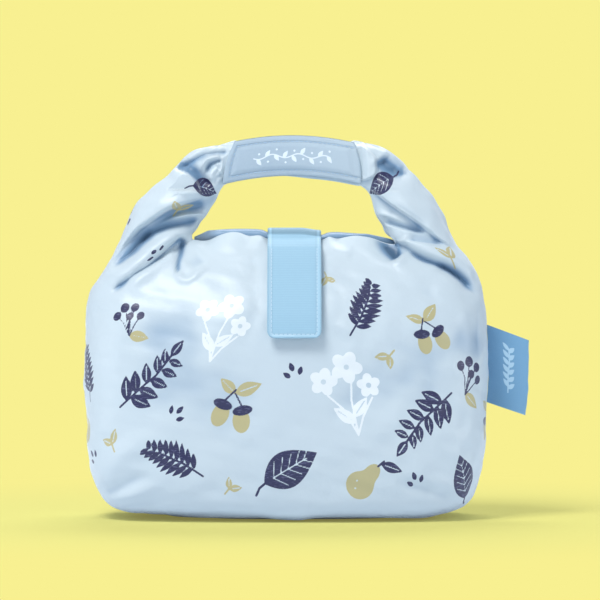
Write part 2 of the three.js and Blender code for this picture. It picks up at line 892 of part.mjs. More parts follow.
const leftArm = hingeGroup(bag, armPivot(false));
addPiece(leftArm, "arm_left", armGeometry(false), printedFabric);
addPiece(leftArm, "grip_anchor", gripAnchorGeometry(), gripCloth);

const gripFlapPivot = new THREE.Vector3(gripHingeX, gripFrontFace, gripCrownBottom);
const gripFlap = hingeGroup(leftArm, gripFlapPivot);
addPiece(gripFlap, "grip_front_panel", gripFrontPanelGeometry(), gripCloth);
addPiece(gripFlap, "grip_hook_patch", gripHookGeometry(), hookTape);

const rightArm = hingeGroup(bag, armPivot(true));
addPiece(rightArm, "arm_right", armGeometry(true), printedFabric);
addPiece(rightArm, "grip_back_panel", gripBackPanelGeometry(), gripCloth);
addPiece(rightArm, "grip_loop_patch", gripLoopGeometry(), hookTape);

const labelHingeX = halfWidthAt(labelTop - labelHeight / 2, true) + labelHingeOffset;
const label = hingeGroup(bag, new THREE.Vector3(labelHingeX, 0, labelTop - labelHeight / 2));
addPiece(label, "side_label", labelGeometry(labelHingeX + labelRootGap), labelCloth);

export default bag;
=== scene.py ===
"""Looks of the food bag: printed cloth, gathered arms, grip bands, tab, label and liner.

Lengths in the shape functions are millimetres, and make_piece turns them into metres.
"""
import math
import bpy
import numpy as np
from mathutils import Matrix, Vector


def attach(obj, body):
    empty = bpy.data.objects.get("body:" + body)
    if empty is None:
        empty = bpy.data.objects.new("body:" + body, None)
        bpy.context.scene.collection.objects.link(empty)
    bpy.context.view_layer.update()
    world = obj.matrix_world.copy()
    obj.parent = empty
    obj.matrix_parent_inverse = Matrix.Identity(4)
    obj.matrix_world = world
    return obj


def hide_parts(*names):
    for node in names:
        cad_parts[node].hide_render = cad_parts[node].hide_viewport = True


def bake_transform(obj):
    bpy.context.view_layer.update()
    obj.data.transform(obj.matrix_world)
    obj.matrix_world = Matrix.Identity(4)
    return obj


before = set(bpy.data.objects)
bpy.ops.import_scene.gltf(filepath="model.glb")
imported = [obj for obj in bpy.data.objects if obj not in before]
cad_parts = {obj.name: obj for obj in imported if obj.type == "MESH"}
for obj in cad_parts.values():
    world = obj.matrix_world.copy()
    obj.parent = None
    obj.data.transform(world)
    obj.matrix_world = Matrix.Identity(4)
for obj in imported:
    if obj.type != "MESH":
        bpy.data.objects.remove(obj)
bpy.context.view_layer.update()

MM = 0.001

# Outer bag
LEFT_HALF_WIDTH = 118
RIGHT_HALF_WIDTH = 112
HALF_DEPTH = 56
CREST = 158
LEFT_BASE_INSET = 36
RIGHT_BASE_INSET = 30
SHOULDER_INSET = 18
MOUTH_LEFT = 56
MOUTH_RIGHT = 58
MOUTH_HALF_DEPTH = 9.5
RIGHT_CORNER_DROP = 2
SHOULDER_FOOT = 127
PLAN_EXPONENT = 2.6
PLAN_EXPONENT_GAIN = 0.8
LIP_DROP_START = 18
LIP_BAND = 9
LIP_LEAN = 0.3
PRINT_ROW = 90
BASE_FADE = 14
FLOOR_GAP = 0.25

# Arms and grip
GRIP_LEFT_BOTTOM = -39
GRIP_LEFT_TOP = -32
GRIP_RIGHT_BOTTOM = 40
GRIP_RIGHT_TOP = 36
GRIP_CROWN = 194.4
GRIP_HEIGHT = 23
GRIP_ARCH = 5.1
GRIP_FRONT = -8
GRIP_THICKNESS = 2.4
GRIP_BACK_FRONT = -2.7
GRIP_BACK = 7.2
GRIP_STITCH = 3.4
GRIP_SPAN = 74
GRIP_HALF = GRIP_THICKNESS / 2
BACK_BAND_LEFT = -28.2
BACK_BAND_RIGHT = 40.4
GRIP_PATCH_LEFT = -12
GRIP_PATCH_RIGHT = 33.4
ARM_HALF_DEPTHS = ((0, 21), (0.25, 17.5), (0.5, 14), (0.78, 10.7), (1, 7.4))
ARM_BLEND = 0.34
ARM_LEAST_ANGLE = 0.12
ARM_SINK = 8

# How far forwards (y) the arms' cloth may come from this height up: behind the grip band, and
# so much more on its left and on its right
BEHIND_BAND_FOOT = 186
BEHIND_BAND_Y = -6
BEHIND_BAND_LEFT = -37.5
BEHIND_BAND_RIGHT = 39.5
BESIDE_BAND_MORE = 9

# Smoothing of the shoulder line, and of the surroundings that a hollow's painted shade is measured from
SHOULDER_BAND = 13
SHOULDER_PASSES = 70
HOLLOW_PASSES = 60

# Shares of the folds' height that move a point along its normal's x, y and z
FOLD_SHARES = (0.15, 1, 0.15)

# Heights and lengths of the cloth's waves
LONG_WAVE = (0.55, 46)
SHORT_WAVE = (0.22, 17)
ARM_GATHER = 0.7
ARM_GATHERS = 9

# Inner bag and seams
LINER_INSET = 12
LINER_DEPTH_INSET = 3.4
LINER_FILM = 0.8
LINER_DROP = 8
LINER_LIFT = 1.9
BINDING_FOOT = 18
BINDING_TOP = 114
BINDING_WIDTH = 7

# Roll, tab and patches
ROLL_CLOTH = 0.8
ROLL_PITCH = 1.1
ROLL_RADIUS = 2.85
ROLL_FRONT = -8.9
ROLL_BACK = 11.9
ROLL_MIDDLE = CREST + 0.3 + ROLL_CLOTH / 2 + ROLL_RADIUS
TAB_CENTRE = 1.9
TAB_WIDTH = 30.4
TAB_THICKNESS = 1.2
TAB_TIP = 103
TAB_OFFSET = 3.7
TAB_CORNER = 4.5
TAB_HEM = 3.2
TAB_STITCH = 2.4
RIB_PITCH = 1.3
PATCH_LEFT = -9.4
PATCH_RIGHT = 14.4
PATCH_TOP = 147
PATCH_FOOT = 108

# Label
LABEL_TOP = 109.5
LABEL_HEIGHT = 44.2
LABEL_LENGTH = 23.4
LABEL_DROOP = 8.8
LABEL_GAP = 0.32
LABEL_PLY = 0.17

# Camera, in metres and degrees
CAMERA_DISTANCE = 3.0
CAMERA_ELEVATION = 2
CAMERA_TARGET = (0.0051, -0.01, 0.1239)
VIEW_WIDTH = 0.3408

# Mesh steps
CENTRE_STEPS = 168
SHOULDER_STEPS = 90
BODY_ROWS = 236
ARM_ROWS = 128
INNER_STEPS = 14
CAP_ROWS = 6
ROW_EASE = 1.3
LINER_ROWS = 44
WEB_ROWS = 26
BINDING_GRID = (60, 12)
ROLL_STEPS = 120
ROLL_COLUMNS = 104
ROLL_END_COLUMNS = 26
TAB_GRID = (260, 44)
TAB_PATCH_GRID = (90, 50)
BAND_GRID = (190, 70)
BACK_BAND_GRID = (90, 64)
GRIP_PATCH_GRID = (100, 50)
LABEL_GRID = (90, 40)


def smooth(t):
    """Smooth step from 0 to 1."""
    c = np.clip(t, 0, 1)
    return c * c * (3 - 2 * c)


def lerp(a, b, t):
    """Straight blend from a to b."""
    return a + (b - a) * t


def curve_through(pairs):
    """Cubic spans through (place, value) pairs, each slope that of the line between its neighbours."""
    place, value = np.array(pairs, float).T
    last = len(place) - 1
    before = np.maximum(np.arange(last + 1) - 1, 0)
    after = np.minimum(np.arange(last + 1) + 1, last)
    slope = (value[after] - value[before]) / (place[after] - place[before])

    def read(u):
        u = np.clip(u, place[0], place[-1])
        i = np.clip(np.searchsorted(place, u, side="right") - 1, 0, last - 1)
        span = place[i + 1] - place[i]
        t = (u - place[i]) / span
        rising = value[i] * (2 * t**3 - 3 * t**2 + 1) + slope[i] * span * (t**3 - 2 * t**2 + t)
        falling = value[i + 1] * (3 * t**2 - 2 * t**3) + slope[i + 1] * span * (t**3 - t**2)
        return rising + falling

    return read


# Shares of the insets and of the depth, by height over the crest's
CORNER_SHARE = curve_through(
    ((0, 1), (0.018, 0.68), (0.047, 0.41), (0.105, 0.22), (0.22, 0.08), (0.42, 0.02), (0.6, 0))
)
SHOULDER_SHARE = curve_through(((0.66, 0), (0.76, 0.09), (0.83, 0.22), (0.89, 0.46), (1, 1)))
DEPTH_SHARE = curve_through(
    (
        (0, 0.71), (0.015, 0.81), (0.035, 0.87), (0.07, 0.92), (0.12, 0.95), (0.2, 0.98), (0.38, 1),
        (0.57, 0.98), (0.7, 0.9), (0.79, 0.75), (0.886, 0.5), (0.95, 0.26), (1, 0),
    )
)


def half_width(z, right):
    """Half width of the bag at height z, less at the base corners and the shoulders."""
    reach = np.where(right, RIGHT_HALF_WIDTH, LEFT_HALF_WIDTH)
    inset = np.where(right, RIGHT_BASE_INSET, LEFT_BASE_INSET)
    share = z / CREST
    return reach - inset * CORNER_SHARE(share) - SHOULDER_INSET * SHOULDER_SHARE(share)


def half_depth(z):
    """Half depth of the bag at height z."""
    return MOUTH_HALF_DEPTH + (HALF_DEPTH - MOUTH_HALF_DEPTH) * DEPTH_SHARE(z / CREST)


def wall_point(across, side, z, width_inset=0.0, depth_inset=0.0):
    """Superellipse plan: x = across * half width, y = side * half depth * (1 - |across|^n)^(1/n)."""
    exponent = PLAN_EXPONENT + PLAN_EXPONENT_GAIN * (1 - smooth(z / CREST))
    bulge = np.maximum(1 - np.minimum(np.abs(across), 1) ** exponent, 0) ** (1 / exponent)
    x = across * (half_width(z, across > 0) - width_inset)
    y = side * (half_depth(z) - depth_inset) * bulge
    return np.stack([x, y, z + 0 * x], -1)


def crest_half_width(right):
    return half_width(np.array(float(CREST)), np.array(right))


def corner_across(right):
    """Share of the crest's half width at which the mouth ends."""
    return (MOUTH_RIGHT if right else MOUTH_LEFT) / float(crest_half_width(right))


def lip_drop(x):
    """How far the crest falls towards the right corner of the mouth."""
    return RIGHT_CORNER_DROP * smooth((x - LIP_DROP_START) / (MOUTH_RIGHT - LIP_DROP_START))


def top_edge(across):
    """Height of the wall's top edge: level at the lips, then down along the shoulder."""
    right = across > 0
    corner = np.where(right, corner_across(True), corner_across(False))
    lip = CREST - lip_drop(across * crest_half_width(right))
    along = np.clip((np.abs(across) - corner) / (1 - corner), 0, 1)
    corner_height = CREST - np.where(right, RIGHT_CORNER_DROP, 0)
    return np.where(np.abs(across) <= corner, lip, lerp(corner_height, SHOULDER_FOOT, along))


def column_places():
    """Shares of the half width from the left seam to the right one, denser towards the seams."""
    c = np.sin(np.pi / 2 * np.linspace(0, 1, SHOULDER_STEPS + 1))
    left = -lerp(corner_across(False), 1, c)[::-1]
    right = lerp(corner_across(True), 1, c)
    middle = np.linspace(left[-1], right[0], CENTRE_STEPS + 1)[1:-1]
    return np.concatenate([left, middle, right])


PLACES = column_places()
COLUMNS = len(PLACES)
LOOP = 2 * COLUMNS - 2

# Rise of the wall's lowest edge and of the front lip, by x
BASE_RISE = curve_through(
    (
        (-100, 0.4), (-90, 1.4), (-82, 2.8), (-70, 3.6), (-50, 3.7), (-36, 3.4), (-18, 2.7),
        (-7, 1.5), (5, 1.1), (13, 2.2), (25, 2.8), (45, 2.6), (62, 1.8), (74, 1.3), (84, 1.5),
        (100, 0.8),
    )
)
LIP_RISE = curve_through(
    (
        (-56, 0), (-50, -0.8), (-46, -0.2), (-41, 2.2), (-35, 4.0), (-30, 3.9), (-24, 2.2),
        (-18, 2.4), (-15.5, 1.4), (-12.5, 0), (-8, -0.3), (8, -0.5), (14, -1.0), (17.6, -0.3),
        (21.5, 1.5), (26, 0.5), (31, 1.5), (37, 2.9), (45, 2.6), (52, 1.3), (58, 0),
    )
)


def raised_lip(points):
    """The front lip stands up before the roll, a little forwards, except under the tab."""
    x, y, z = np.moveaxis(points, -1, 0)
    share = smooth((z - CREST + LIP_BAND) / LIP_BAND) * (y < 0) * (np.abs(x) < MOUTH_RIGHT + 2)
    rise = LIP_RISE(x) * share
    return np.stack([x, y - LIP_LEAN * np.maximum(rise, 0), z + rise], -1)


def wall_grid(rows, width_inset=0.0, depth_inset=0.0, top_drop=0.0):
    """Rows of the wall from the base to its top edge; columns run round the bag."""
    across = np.concatenate([PLACES, PLACES[-2:0:-1]])
    side = np.concatenate([-np.ones(COLUMNS), np.ones(COLUMNS - 2)])
    share = np.linspace(0, 1, rows + 1)[:, None] ** ROW_EASE
    z = (top_edge(across) - top_drop)[None, :] * share
    across = np.broadcast_to(across, z.shape)
    return wall_point(across, side[None, :], z, width_inset, depth_inset)


def grip_edge(x, upper):
    """Lower and upper edge of the grip band: a shallow parabola."""
    middle = (GRIP_LEFT_BOTTOM + GRIP_RIGHT_BOTTOM) / 2
    half = (GRIP_RIGHT_BOTTOM - GRIP_LEFT_BOTTOM) / 2
    crown = GRIP_CROWN + (GRIP_HEIGHT if upper else 0)
    return crown - GRIP_ARCH * ((x - middle) / half) ** 2


# Edges of the arms between the bag and the grip, in the front view (x, z)
LEFT_INNER = ((-56, 161.4), (-53.8, 165), (-50.6, 169.2), (-47, 174.2), (-43.6, 180), (-41.2, 186))
LEFT_OUTER = (
    (-111.8, 131.6), (-106.4, 140.3), (-101.6, 150.2), (-97, 159.4), (-92.6, 168.4), (-88, 176.4),
    (-80.6, 184.6), (-74.4, 190.4), (-69.2, 194.8), (-66, 199.6), (-61.2, 205.4), (-54.4, 209.4),
    (-47, 211), (-39, 211.8),
)
RIGHT_INNER = ((57, 159), (54.6, 162.4), (50.6, 168.2), (47.8, 174), (46, 181), (43.4, 186))
RIGHT_OUTER = (
    (108.4, 133), (105.6, 140), (101, 146.8), (96.2, 152), (93, 157.4), (89.6, 163.8), (85.8, 171),
    (82, 178), (77.4, 185.4), (72.4, 192.6), (67.4, 197.8), (63.2, 203), (57, 207.9), (49.2, 211.6),
    (42, 212.8),
)
ARM_MIDDLE = curve_through(((127, 88), (150, 78), (168, 71), (184, 61), (192, 55), (200, 50), (210, 41)))


def smooth_line(points, place, at):
    """A smooth curve through points that stand at given places along it, read at others."""
    columns = np.array(points, float).T
    return np.stack([curve_through(np.stack([place, column], -1))(at) for column in columns], -1)


def line_run(line):
    """Length along a line of points from its first one."""
    return np.r_[0, np.cumsum(np.linalg.norm(np.diff(line, axis=0), axis=1))]


def read_line(line, run, at):
    """Points of a line, or values at its points, read at other lengths than its own run."""
    return np.stack([np.interp(at, run, column) for column in line.T], -1)


def even_line(line, count):
    """A line read at even steps of its length, and that length."""
    run = line_run(line)
    return read_line(line, run, np.linspace(0, run[-1], count)), run[-1]


def line_direction(line):
    """Unit direction of a line at each of its points."""
    along = np.gradient(line, axis=0)
    return along / np.linalg.norm(along, axis=1, keepdims=True)


def even_curve(points, t):
    """A smooth curve through (x, z) points, read at shares t of its length."""
    place = np.arange(len(points))
    line = smooth_line(points, place, np.linspace(0, place[-1], 12 * len(points)))
    run = line_run(line)
    return read_line(line, run, t * run[-1])


def arm_rails(right, t):
    """Inner and outer edge of an arm in the front view."""
    sign = 1 if right else -1
    corner = np.array(sign * corner_across(right))
    inner = wall_point(corner, -1, top_edge(corner))[[0, 2]]
    outer = wall_point(np.array(float(sign)), -1, np.array(float(SHOULDER_FOOT)))[[0, 2]]
    bottom_x = GRIP_RIGHT_BOTTOM if right else GRIP_LEFT_BOTTOM
    top_x = GRIP_RIGHT_TOP if right else GRIP_LEFT_TOP
    inner_end = (bottom_x, grip_edge(bottom_x, False))
    outer_end = (top_x, grip_edge(top_x, True))
    inner_line = RIGHT_INNER if right else LEFT_INNER
    outer_line = RIGHT_OUTER if right else LEFT_OUTER
    return (
        even_curve((inner, *inner_line, inner_end), t),
        even_curve((outer, *outer_line, outer_end), t),
    )


def arm_columns(right):
    """Columns of the wall's loop that an arm continues, from its inner corner round the front."""
    if right:
        return np.arange(COLUMNS - 1 - SHOULDER_STEPS, COLUMNS + SHOULDER_STEPS)
    front = np.arange(SHOULDER_STEPS, -1, -1)
    back = np.arange(LOOP - 1, LOOP - 1 - SHOULDER_STEPS, -1)
    return np.concatenate([front, back])


def arm_grid(right, foot):
    """Arm rows from the wall's top ring to the grip.

    A ring is middle + reach * cos(angle) between the rails and depth * sin(angle) in y. It is
    reached from the foot ring by a smooth share, and the last rows sink into the grip band.
    """
    sign = 1 if right else -1
    along = np.sin(np.pi / 2 * np.linspace(0, 1, SHOULDER_STEPS + 1))
    angle = np.maximum(np.arccos(np.clip(1 - 2 * along, -1, 1)), ARM_LEAST_ANGLE)
    angle = np.concatenate([angle, -angle[-2::-1]])[None, :]
    t = np.linspace(0, 1, ARM_ROWS + 1)
    inner, outer = arm_rails(right, t)
    middle = (inner + outer) / 2
    reach = inner - middle
    depth = curve_through(ARM_HALF_DEPTHS)(t)
    x = middle[:, :1] + reach[:, :1] * np.cos(angle)
    z = middle[:, 1:] + reach[:, 1:] * np.cos(angle)
    y = -depth[:, None] * np.sin(angle)
    ring = np.stack([x, y, z], -1)
    shift = np.stack([middle[:, 0] - middle[0, 0], 0 * t, middle[:, 1] - middle[0, 1]], -1)
    share = smooth(t / ARM_BLEND)[:, None, None]
    grid = lerp(foot[None] + shift[:, None, :], ring, share)
    nearness = (1 + np.cos(angle)) / 2
    middle_column = SHOULDER_STEPS
    for k, part in ((0, 0), (2, 1)):
        off_inner = (inner[:, part] - grid[:, 0, k])[:, None]
        off_outer = (outer[:, part] - grid[:, middle_column, k])[:, None]
        grid[..., k] += nearness * off_inner + (1 - nearness) * off_outer
    k = (np.arange(1, INNER_STEPS) / INNER_STEPS)[None, :, None]
    bridge = lerp(grid[:, -1:, :], grid[:, :1, :], k)
    width = grid[:, -1:, 1] - grid[:, :1, 1]
    bow = lerp(-0.1, 0.25, smooth(t / 0.3))[:, None]
    bridge[..., 0] -= sign * np.sin(np.pi * k[..., 0]) * width * bow
    grid = np.concatenate([grid, bridge], 1)
    end = grid[-1]
    heart = end.mean(0)
    sink = np.linspace(0, 1, CAP_ROWS + 1)[1:, None, None]
    cap = lerp(end[None], heart[None, None], 0.75 * sink**2 + 0.1 * sink)
    cap[..., 0] -= sign * ARM_SINK * sink[..., 0]
    cap[..., 1] += 1.2 * sink[..., 0]
    return np.concatenate([grid, cap])


def quads(rows, columns, around):
    """Corner numbers of a grid's quads; around joins its last column to its first."""
    i = np.arange(rows - 1)[:, None]
    j = np.arange(columns if around else columns - 1)[None, :]
    k = (j + 1) % columns
    corners = [i * columns + j, i * columns + k, (i + 1) * columns + k, (i + 1) * columns + j]
    return np.stack(corners, -1).reshape(-1, 4)


def facing_out(points, faces):
    """Turns the faces round if the volume that they close is negative."""
    a, b, c, d = ((points - points.mean(0))[faces[:, i]] for i in range(4))
    volume = (a * np.cross(b, c)).sum() + (a * np.cross(c, d)).sum()
    return faces if volume > 0 else faces[:, ::-1]


def vertex_normals(points, faces):
    """Mean of the face normals round each point, weighted by area."""
    a, b, c, d = (points[faces[:, i]] for i in range(4))
    normal = np.cross(c - a, d - b)
    sums = [
        sum(np.bincount(faces[:, i], normal[:, k], len(points)) for i in range(4))
        for k in range(3)
    ]
    total = np.stack(sums, -1)
    return total / np.maximum(np.linalg.norm(total, axis=1, keepdims=True), 1e-12)


def relaxed(values, faces, weight, times):
    """Moves each row of values towards the mean of its neighbours by its weight, some times."""
    values = values.copy()
    faces = faces[(weight[faces] > 0.003).any(1)]
    edges = np.concatenate([faces[:, [i, (i + 1) % 4]] for i in range(4)])
    edges = np.concatenate([edges, edges[:, ::-1]])
    count = np.bincount(edges[:, 0], minlength=len(values))
    active = weight * (count > 0)
    count = np.maximum(count, 1)
    for _ in range(times):
        for k in range(values.shape[1]):
            total = np.bincount(edges[:, 0], values[edges[:, 1], k], len(values))
            values[:, k] += active * (total / count - values[:, k])
    return values


def fade(share, start, end):
    """Rises over the first part of a path and falls over the last."""
    return smooth(share / start) * smooth((1 - share) / end)


class Folds:
    """Heights of folds over points seen from the front, summed over paths in (x, z)."""

    def __init__(self, x, z):
        self.x = x
        self.z = z
        self.height = np.zeros_like(x)

    def near(self, points, reach):
        """Points near a smooth path: which they are, how far off, where along it, which side."""
        place = np.arange(len(points))
        line = smooth_line(points, place, np.linspace(0, place[-1], 8 * place[-1] + 1))
        start = line[:-1]
        along = np.diff(line, axis=0)
        low = line.min(0) - reach
        high = line.max(0) + reach
        inside = (self.x > low[0]) & (self.x < high[0]) & (self.z > low[1]) & (self.z < high[1])
        found = np.flatnonzero(inside)
        rx = self.x[found, None] - start[:, 0]
        rz = self.z[found, None] - start[:, 1]
        t = np.clip((rx * along[:, 0] + rz * along[:, 1]) / (along**2).sum(-1), 0, 1)
        away = np.hypot(rx - t * along[:, 0], rz - t * along[:, 1])
        best = away.argmin(1)
        row = np.arange(len(found))
        side = np.sign(along[best, 0] * rz[row, best] - along[best, 1] * rx[row, best])
        return found, away[row, best], (best + t[row, best]) / len(start), side

    def ridge(self, height, width, points, start=0.3, end=0.3):
        """Height * exp(-(distance / width)^2), fading in at the start and out at the end."""
        found, away, share, _ = self.near(points, 3 * width)
        self.height[found] += height * np.exp(-((away / width) ** 2)) * fade(share, start, end)

    def crease(self, depth, width, points, start=0.2, end=0.3):
        """A sharp valley between puffed cloth: -depth * exp(-distance / width)."""
        found, away, share, _ = self.near(points, 4 * width)
        away = np.hypot(away, 0.5) - 0.5
        self.height[found] -= depth * np.exp(-away / width) * fade(share, start, end)

    def lap(self, height, width, fall, points, start=0.2, end=0.2):
        """An edge lying over other cloth: sharp rise to the path's left that sinks away slowly."""
        found, away, share, side = self.near(points, 3 * fall)
        over = away * side
        rise = smooth(over / width * 0.5 + 0.5)
        sink = np.exp(-((np.maximum(over, 0) / fall) ** 2))
        self.height[found] += height * rise * sink * fade(share, start, end)


# Paths of the longer folds in the front view (x, z)
LEFT_BODY_LINE = (
    (-59, 161), (-64, 157.6), (-68.6, 153.8), (-74.5, 148.6), (-80.5, 143.8), (-86.6, 140),
    (-92, 136), (-97.2, 132), (-102, 127.4),
)
LEFT_ROLL_LINE = (
    (-56, 164), (-64, 161.6), (-72, 157.2), (-80.5, 151.4), (-88, 145), (-96, 138), (-105, 130),
)
LEFT_VALLEY = (
    (-49, 169.4), (-56, 168.4), (-64, 167), (-72, 165.4), (-80, 162.4), (-86, 157), (-92, 150.4),
    (-98, 144.6), (-104, 139),
)
LEFT_LOBE_EDGE = (
    (-104, 144.6), (-99.5, 150.2), (-94.2, 156.3), (-90.5, 160.5), (-86.2, 164.7), (-80.5, 168.7),
    (-74.5, 172.6), (-68.3, 176.1), (-61, 178.6), (-54.6, 180.8), (-49, 182.4),
)
LEFT_LOBE_TIP = (
    (-52, 180), (-51.6, 184.4), (-52.4, 189), (-55.4, 193), (-59.4, 196), (-65.3, 197.8),
    (-73, 198),
)
LEFT_TOP_LINE = (
    (-66, 199), (-61, 199.8), (-56, 203), (-48.5, 206.4), (-41, 207.6), (-35, 207.8),
)
LEFT_POCKET_RIM = (
    (-40, 147.4), (-46, 144.6), (-51.6, 140.6), (-55, 137.6), (-59, 136.2), (-62.8, 138),
    (-65.6, 143), (-66.4, 149),
)
RIGHT_BODY_LINE = (
    (58.6, 156.2), (64.4, 153.4), (70.2, 149), (75.5, 146), (81.6, 144), (87, 141.6), (92.2, 138.4),
    (97, 134.6), (102, 129.6), (107, 124),
)
RIGHT_LOBE_EDGE = (
    (98, 150), (90.7, 154.8), (85.4, 157.8), (79.3, 162.2), (73, 167), (66, 171.8), (60.3, 175.6),
    (54.2, 179.8), (48.1, 184.4), (40, 189.8),
)
RIGHT_TUCK_EDGE = (
    (32, 191), (41, 192), (45.4, 193.2), (48.2, 196), (48.4, 201), (47.6, 205.6), (41.3, 210.4),
    (33, 213),
)
RIGHT_POCKET_RIM = (
    (36, 154.4), (41, 152.6), (46, 149.8), (52, 146.6), (58.6, 145), (62.8, 147.4), (63.8, 152),
)


def left_arm_folds(f):
    """Two puffed lobes over a wide valley, and small tucks at the grip."""
    f.ridge(3.2, 3.6, ((-63, 152.8), (-70, 148.2), (-78, 142.6), (-86, 137), (-94, 131.4)), 0.2, 0.2)
    f.crease(4.8, 1.9, LEFT_BODY_LINE, 0.12, 0.15)
    f.lap(2.4, 1.2, 9, LEFT_BODY_LINE[::-1])
    f.ridge(2.8, 4.4, LEFT_ROLL_LINE, 0.1, 0.2)
    f.crease(6.4, 3.2, LEFT_VALLEY, 0.12, 0.2)
    f.ridge(-2.6, 4.6, ((-77, 165), (-84, 160), (-90, 153.4), (-97, 146.6), (-103, 141)), 0.2, 0.3)
    f.ridge(2.2, 1.2, ((-47, 172.4), (-54, 172.4), (-62, 171.8), (-70, 169.6), (-78, 166)), 0.2, 0.5)
    f.ridge(-4.0, 3.0, ((-45, 177.4), (-54, 177), (-64, 174.4), (-74, 169.4), (-83, 163)), 0.2, 0.4)
    f.lap(7.5, 1.4, 15, LEFT_LOBE_EDGE, 0.1, 0.15)
    f.lap(4.8, 1.1, 9, LEFT_LOBE_TIP, 0.2, 0.3)
    f.ridge(-4.6, 4.2, ((-67, 201), (-60, 199.4), (-54.6, 196), (-50, 191.4), (-48, 186)), 0.15, 0.2)
    f.ridge(-2.6, 4.5, ((-50, 200), (-44, 199), (-40, 197)), 0.3, 0.2)
    f.crease(3.4, 1.8, LEFT_TOP_LINE, 0.2, 0.1)
    f.ridge(1.6, 2.4, ((-66, 203), (-57, 207.6), (-46, 211), (-36, 211.8)), 0.2, 0.1)
    f.ridge(1.8, 1.1, ((-51.6, 196), (-50, 201), (-46.3, 204.2), (-40, 205.4)), 0.3, 0.1)
    f.crease(2.4, 1.1, ((-48.6, 195), (-47, 200), (-43, 202.6), (-39, 203.2)), 0.3, 0.1)
    f.ridge(1.8, 2.0, ((-46, 190), (-44.6, 196), (-41, 199.4)), 0.3, 0.1)
    f.crease(1.6, 1.0, ((-44, 189), (-42.4, 193), (-39, 195.4)), 0.3, 0.1)


def left_body_folds(f):
    """The pocket under the left corner of the mouth and soft bulges of the left side."""
    f.crease(4.6, 1.3, ((-60.6, 159.6), (-62, 153), (-63.4, 147.6), (-64, 142), (-62.6, 138.6)), 0.1, 0.3)
    f.ridge(-1.4, 7.0, ((-50, 151), (-55, 147), (-59, 143)))
    f.ridge(2.3, 2.1, LEFT_POCKET_RIM, 0.35, 0.3)
    f.ridge(1.8, 6.0, ((-75, 146), (-88, 134), (-98, 121), (-102, 108)), 0.2, 0.4)
    f.ridge(-2.2, 12, ((-98, 114), (-78, 108), (-60, 108), (-44, 113)))
    f.ridge(1.5, 3.4, ((-107, 8), (-96, 12.6), (-80, 19), (-62, 26.6)), 0.15, 0.5)
    f.ridge(1.6, 6.5, ((-109, 18), (-104, 28), (-92, 41), (-75, 48.5), (-56, 52)), 0.2, 0.5)
    f.ridge(-1.5, 3.4, ((-107, 14), (-96, 19.8), (-86, 24.4), (-72, 29.6)), 0.15, 0.5)
    f.ridge(-1.5, 3.6, ((-101, 5), (-89, 8.8), (-72, 11.6), (-46, 15.6)), 0.2, 0.5)
    f.ridge(1.0, 8, ((-60, 84), (-44, 92), (-30, 104)), 0.4, 0.4)
    f.ridge(-2.8, 22, ((-100, 86), (-70, 80), (-38, 77), (-4, 74)), 0.25, 0.3)


def right_arm_folds(f):
    """One long lobe over the outer edge, lapping a lower one with short wedges."""
    f.crease(5.0, 2.2, RIGHT_BODY_LINE, 0.12, 0.2)
    f.lap(-2.2, 1.2, 9, RIGHT_BODY_LINE, 0.3, 0.2)
    f.lap(2.2, 1.2, 9, RIGHT_BODY_LINE[::-1], 0.3, 0.2)
    f.ridge(-2.6, 3.0, ((80, 145), (90, 140.6), (98, 134.4), (103, 129)), 0.2, 0.3)
    f.ridge(2.0, 3.6, ((62, 158.6), (72, 153.6), (84, 149.6), (97, 142)), 0.3, 0.4)
    f.ridge(2.0, 1.6, ((46, 174.4), (54, 172), (62, 168.8), (70, 165)), 0.2, 0.4)
    f.lap(-4.0, 1.0, 7, ((50, 167.6), (56, 166.2), (64, 164.4), (72, 162.9), (79, 161.8)), 0.25, 0.3)
    f.lap(-3.2, 1.0, 6, ((63, 158.4), (71, 157.2), (80, 156), (88, 154.4)), 0.3, 0.3)
    f.lap(5.4, 1.0, 15, RIGHT_LOBE_EDGE[::-1], 0.16, 0.25)
    f.crease(1.0, 0.9, ((57, 179.4), (64, 175), (72, 169.4), (80, 164)), 0.3, 0.4)
    f.crease(2.6, 2.2, ((48, 193.4), (56, 194), (63, 195.6), (68, 196.8)), 0.3, 0.2)
    f.ridge(1.8, 3.0, ((38, 211), (50, 208.6), (59, 202), (65, 196.4)), 0.1, 0.2)
    f.lap(4.0, 0.9, 20, RIGHT_TUCK_EDGE)
    f.ridge(-5.2, 5.2, ((51, 206), (55, 201.4), (60, 198), (66, 195.6)), 0.2, 0.45)


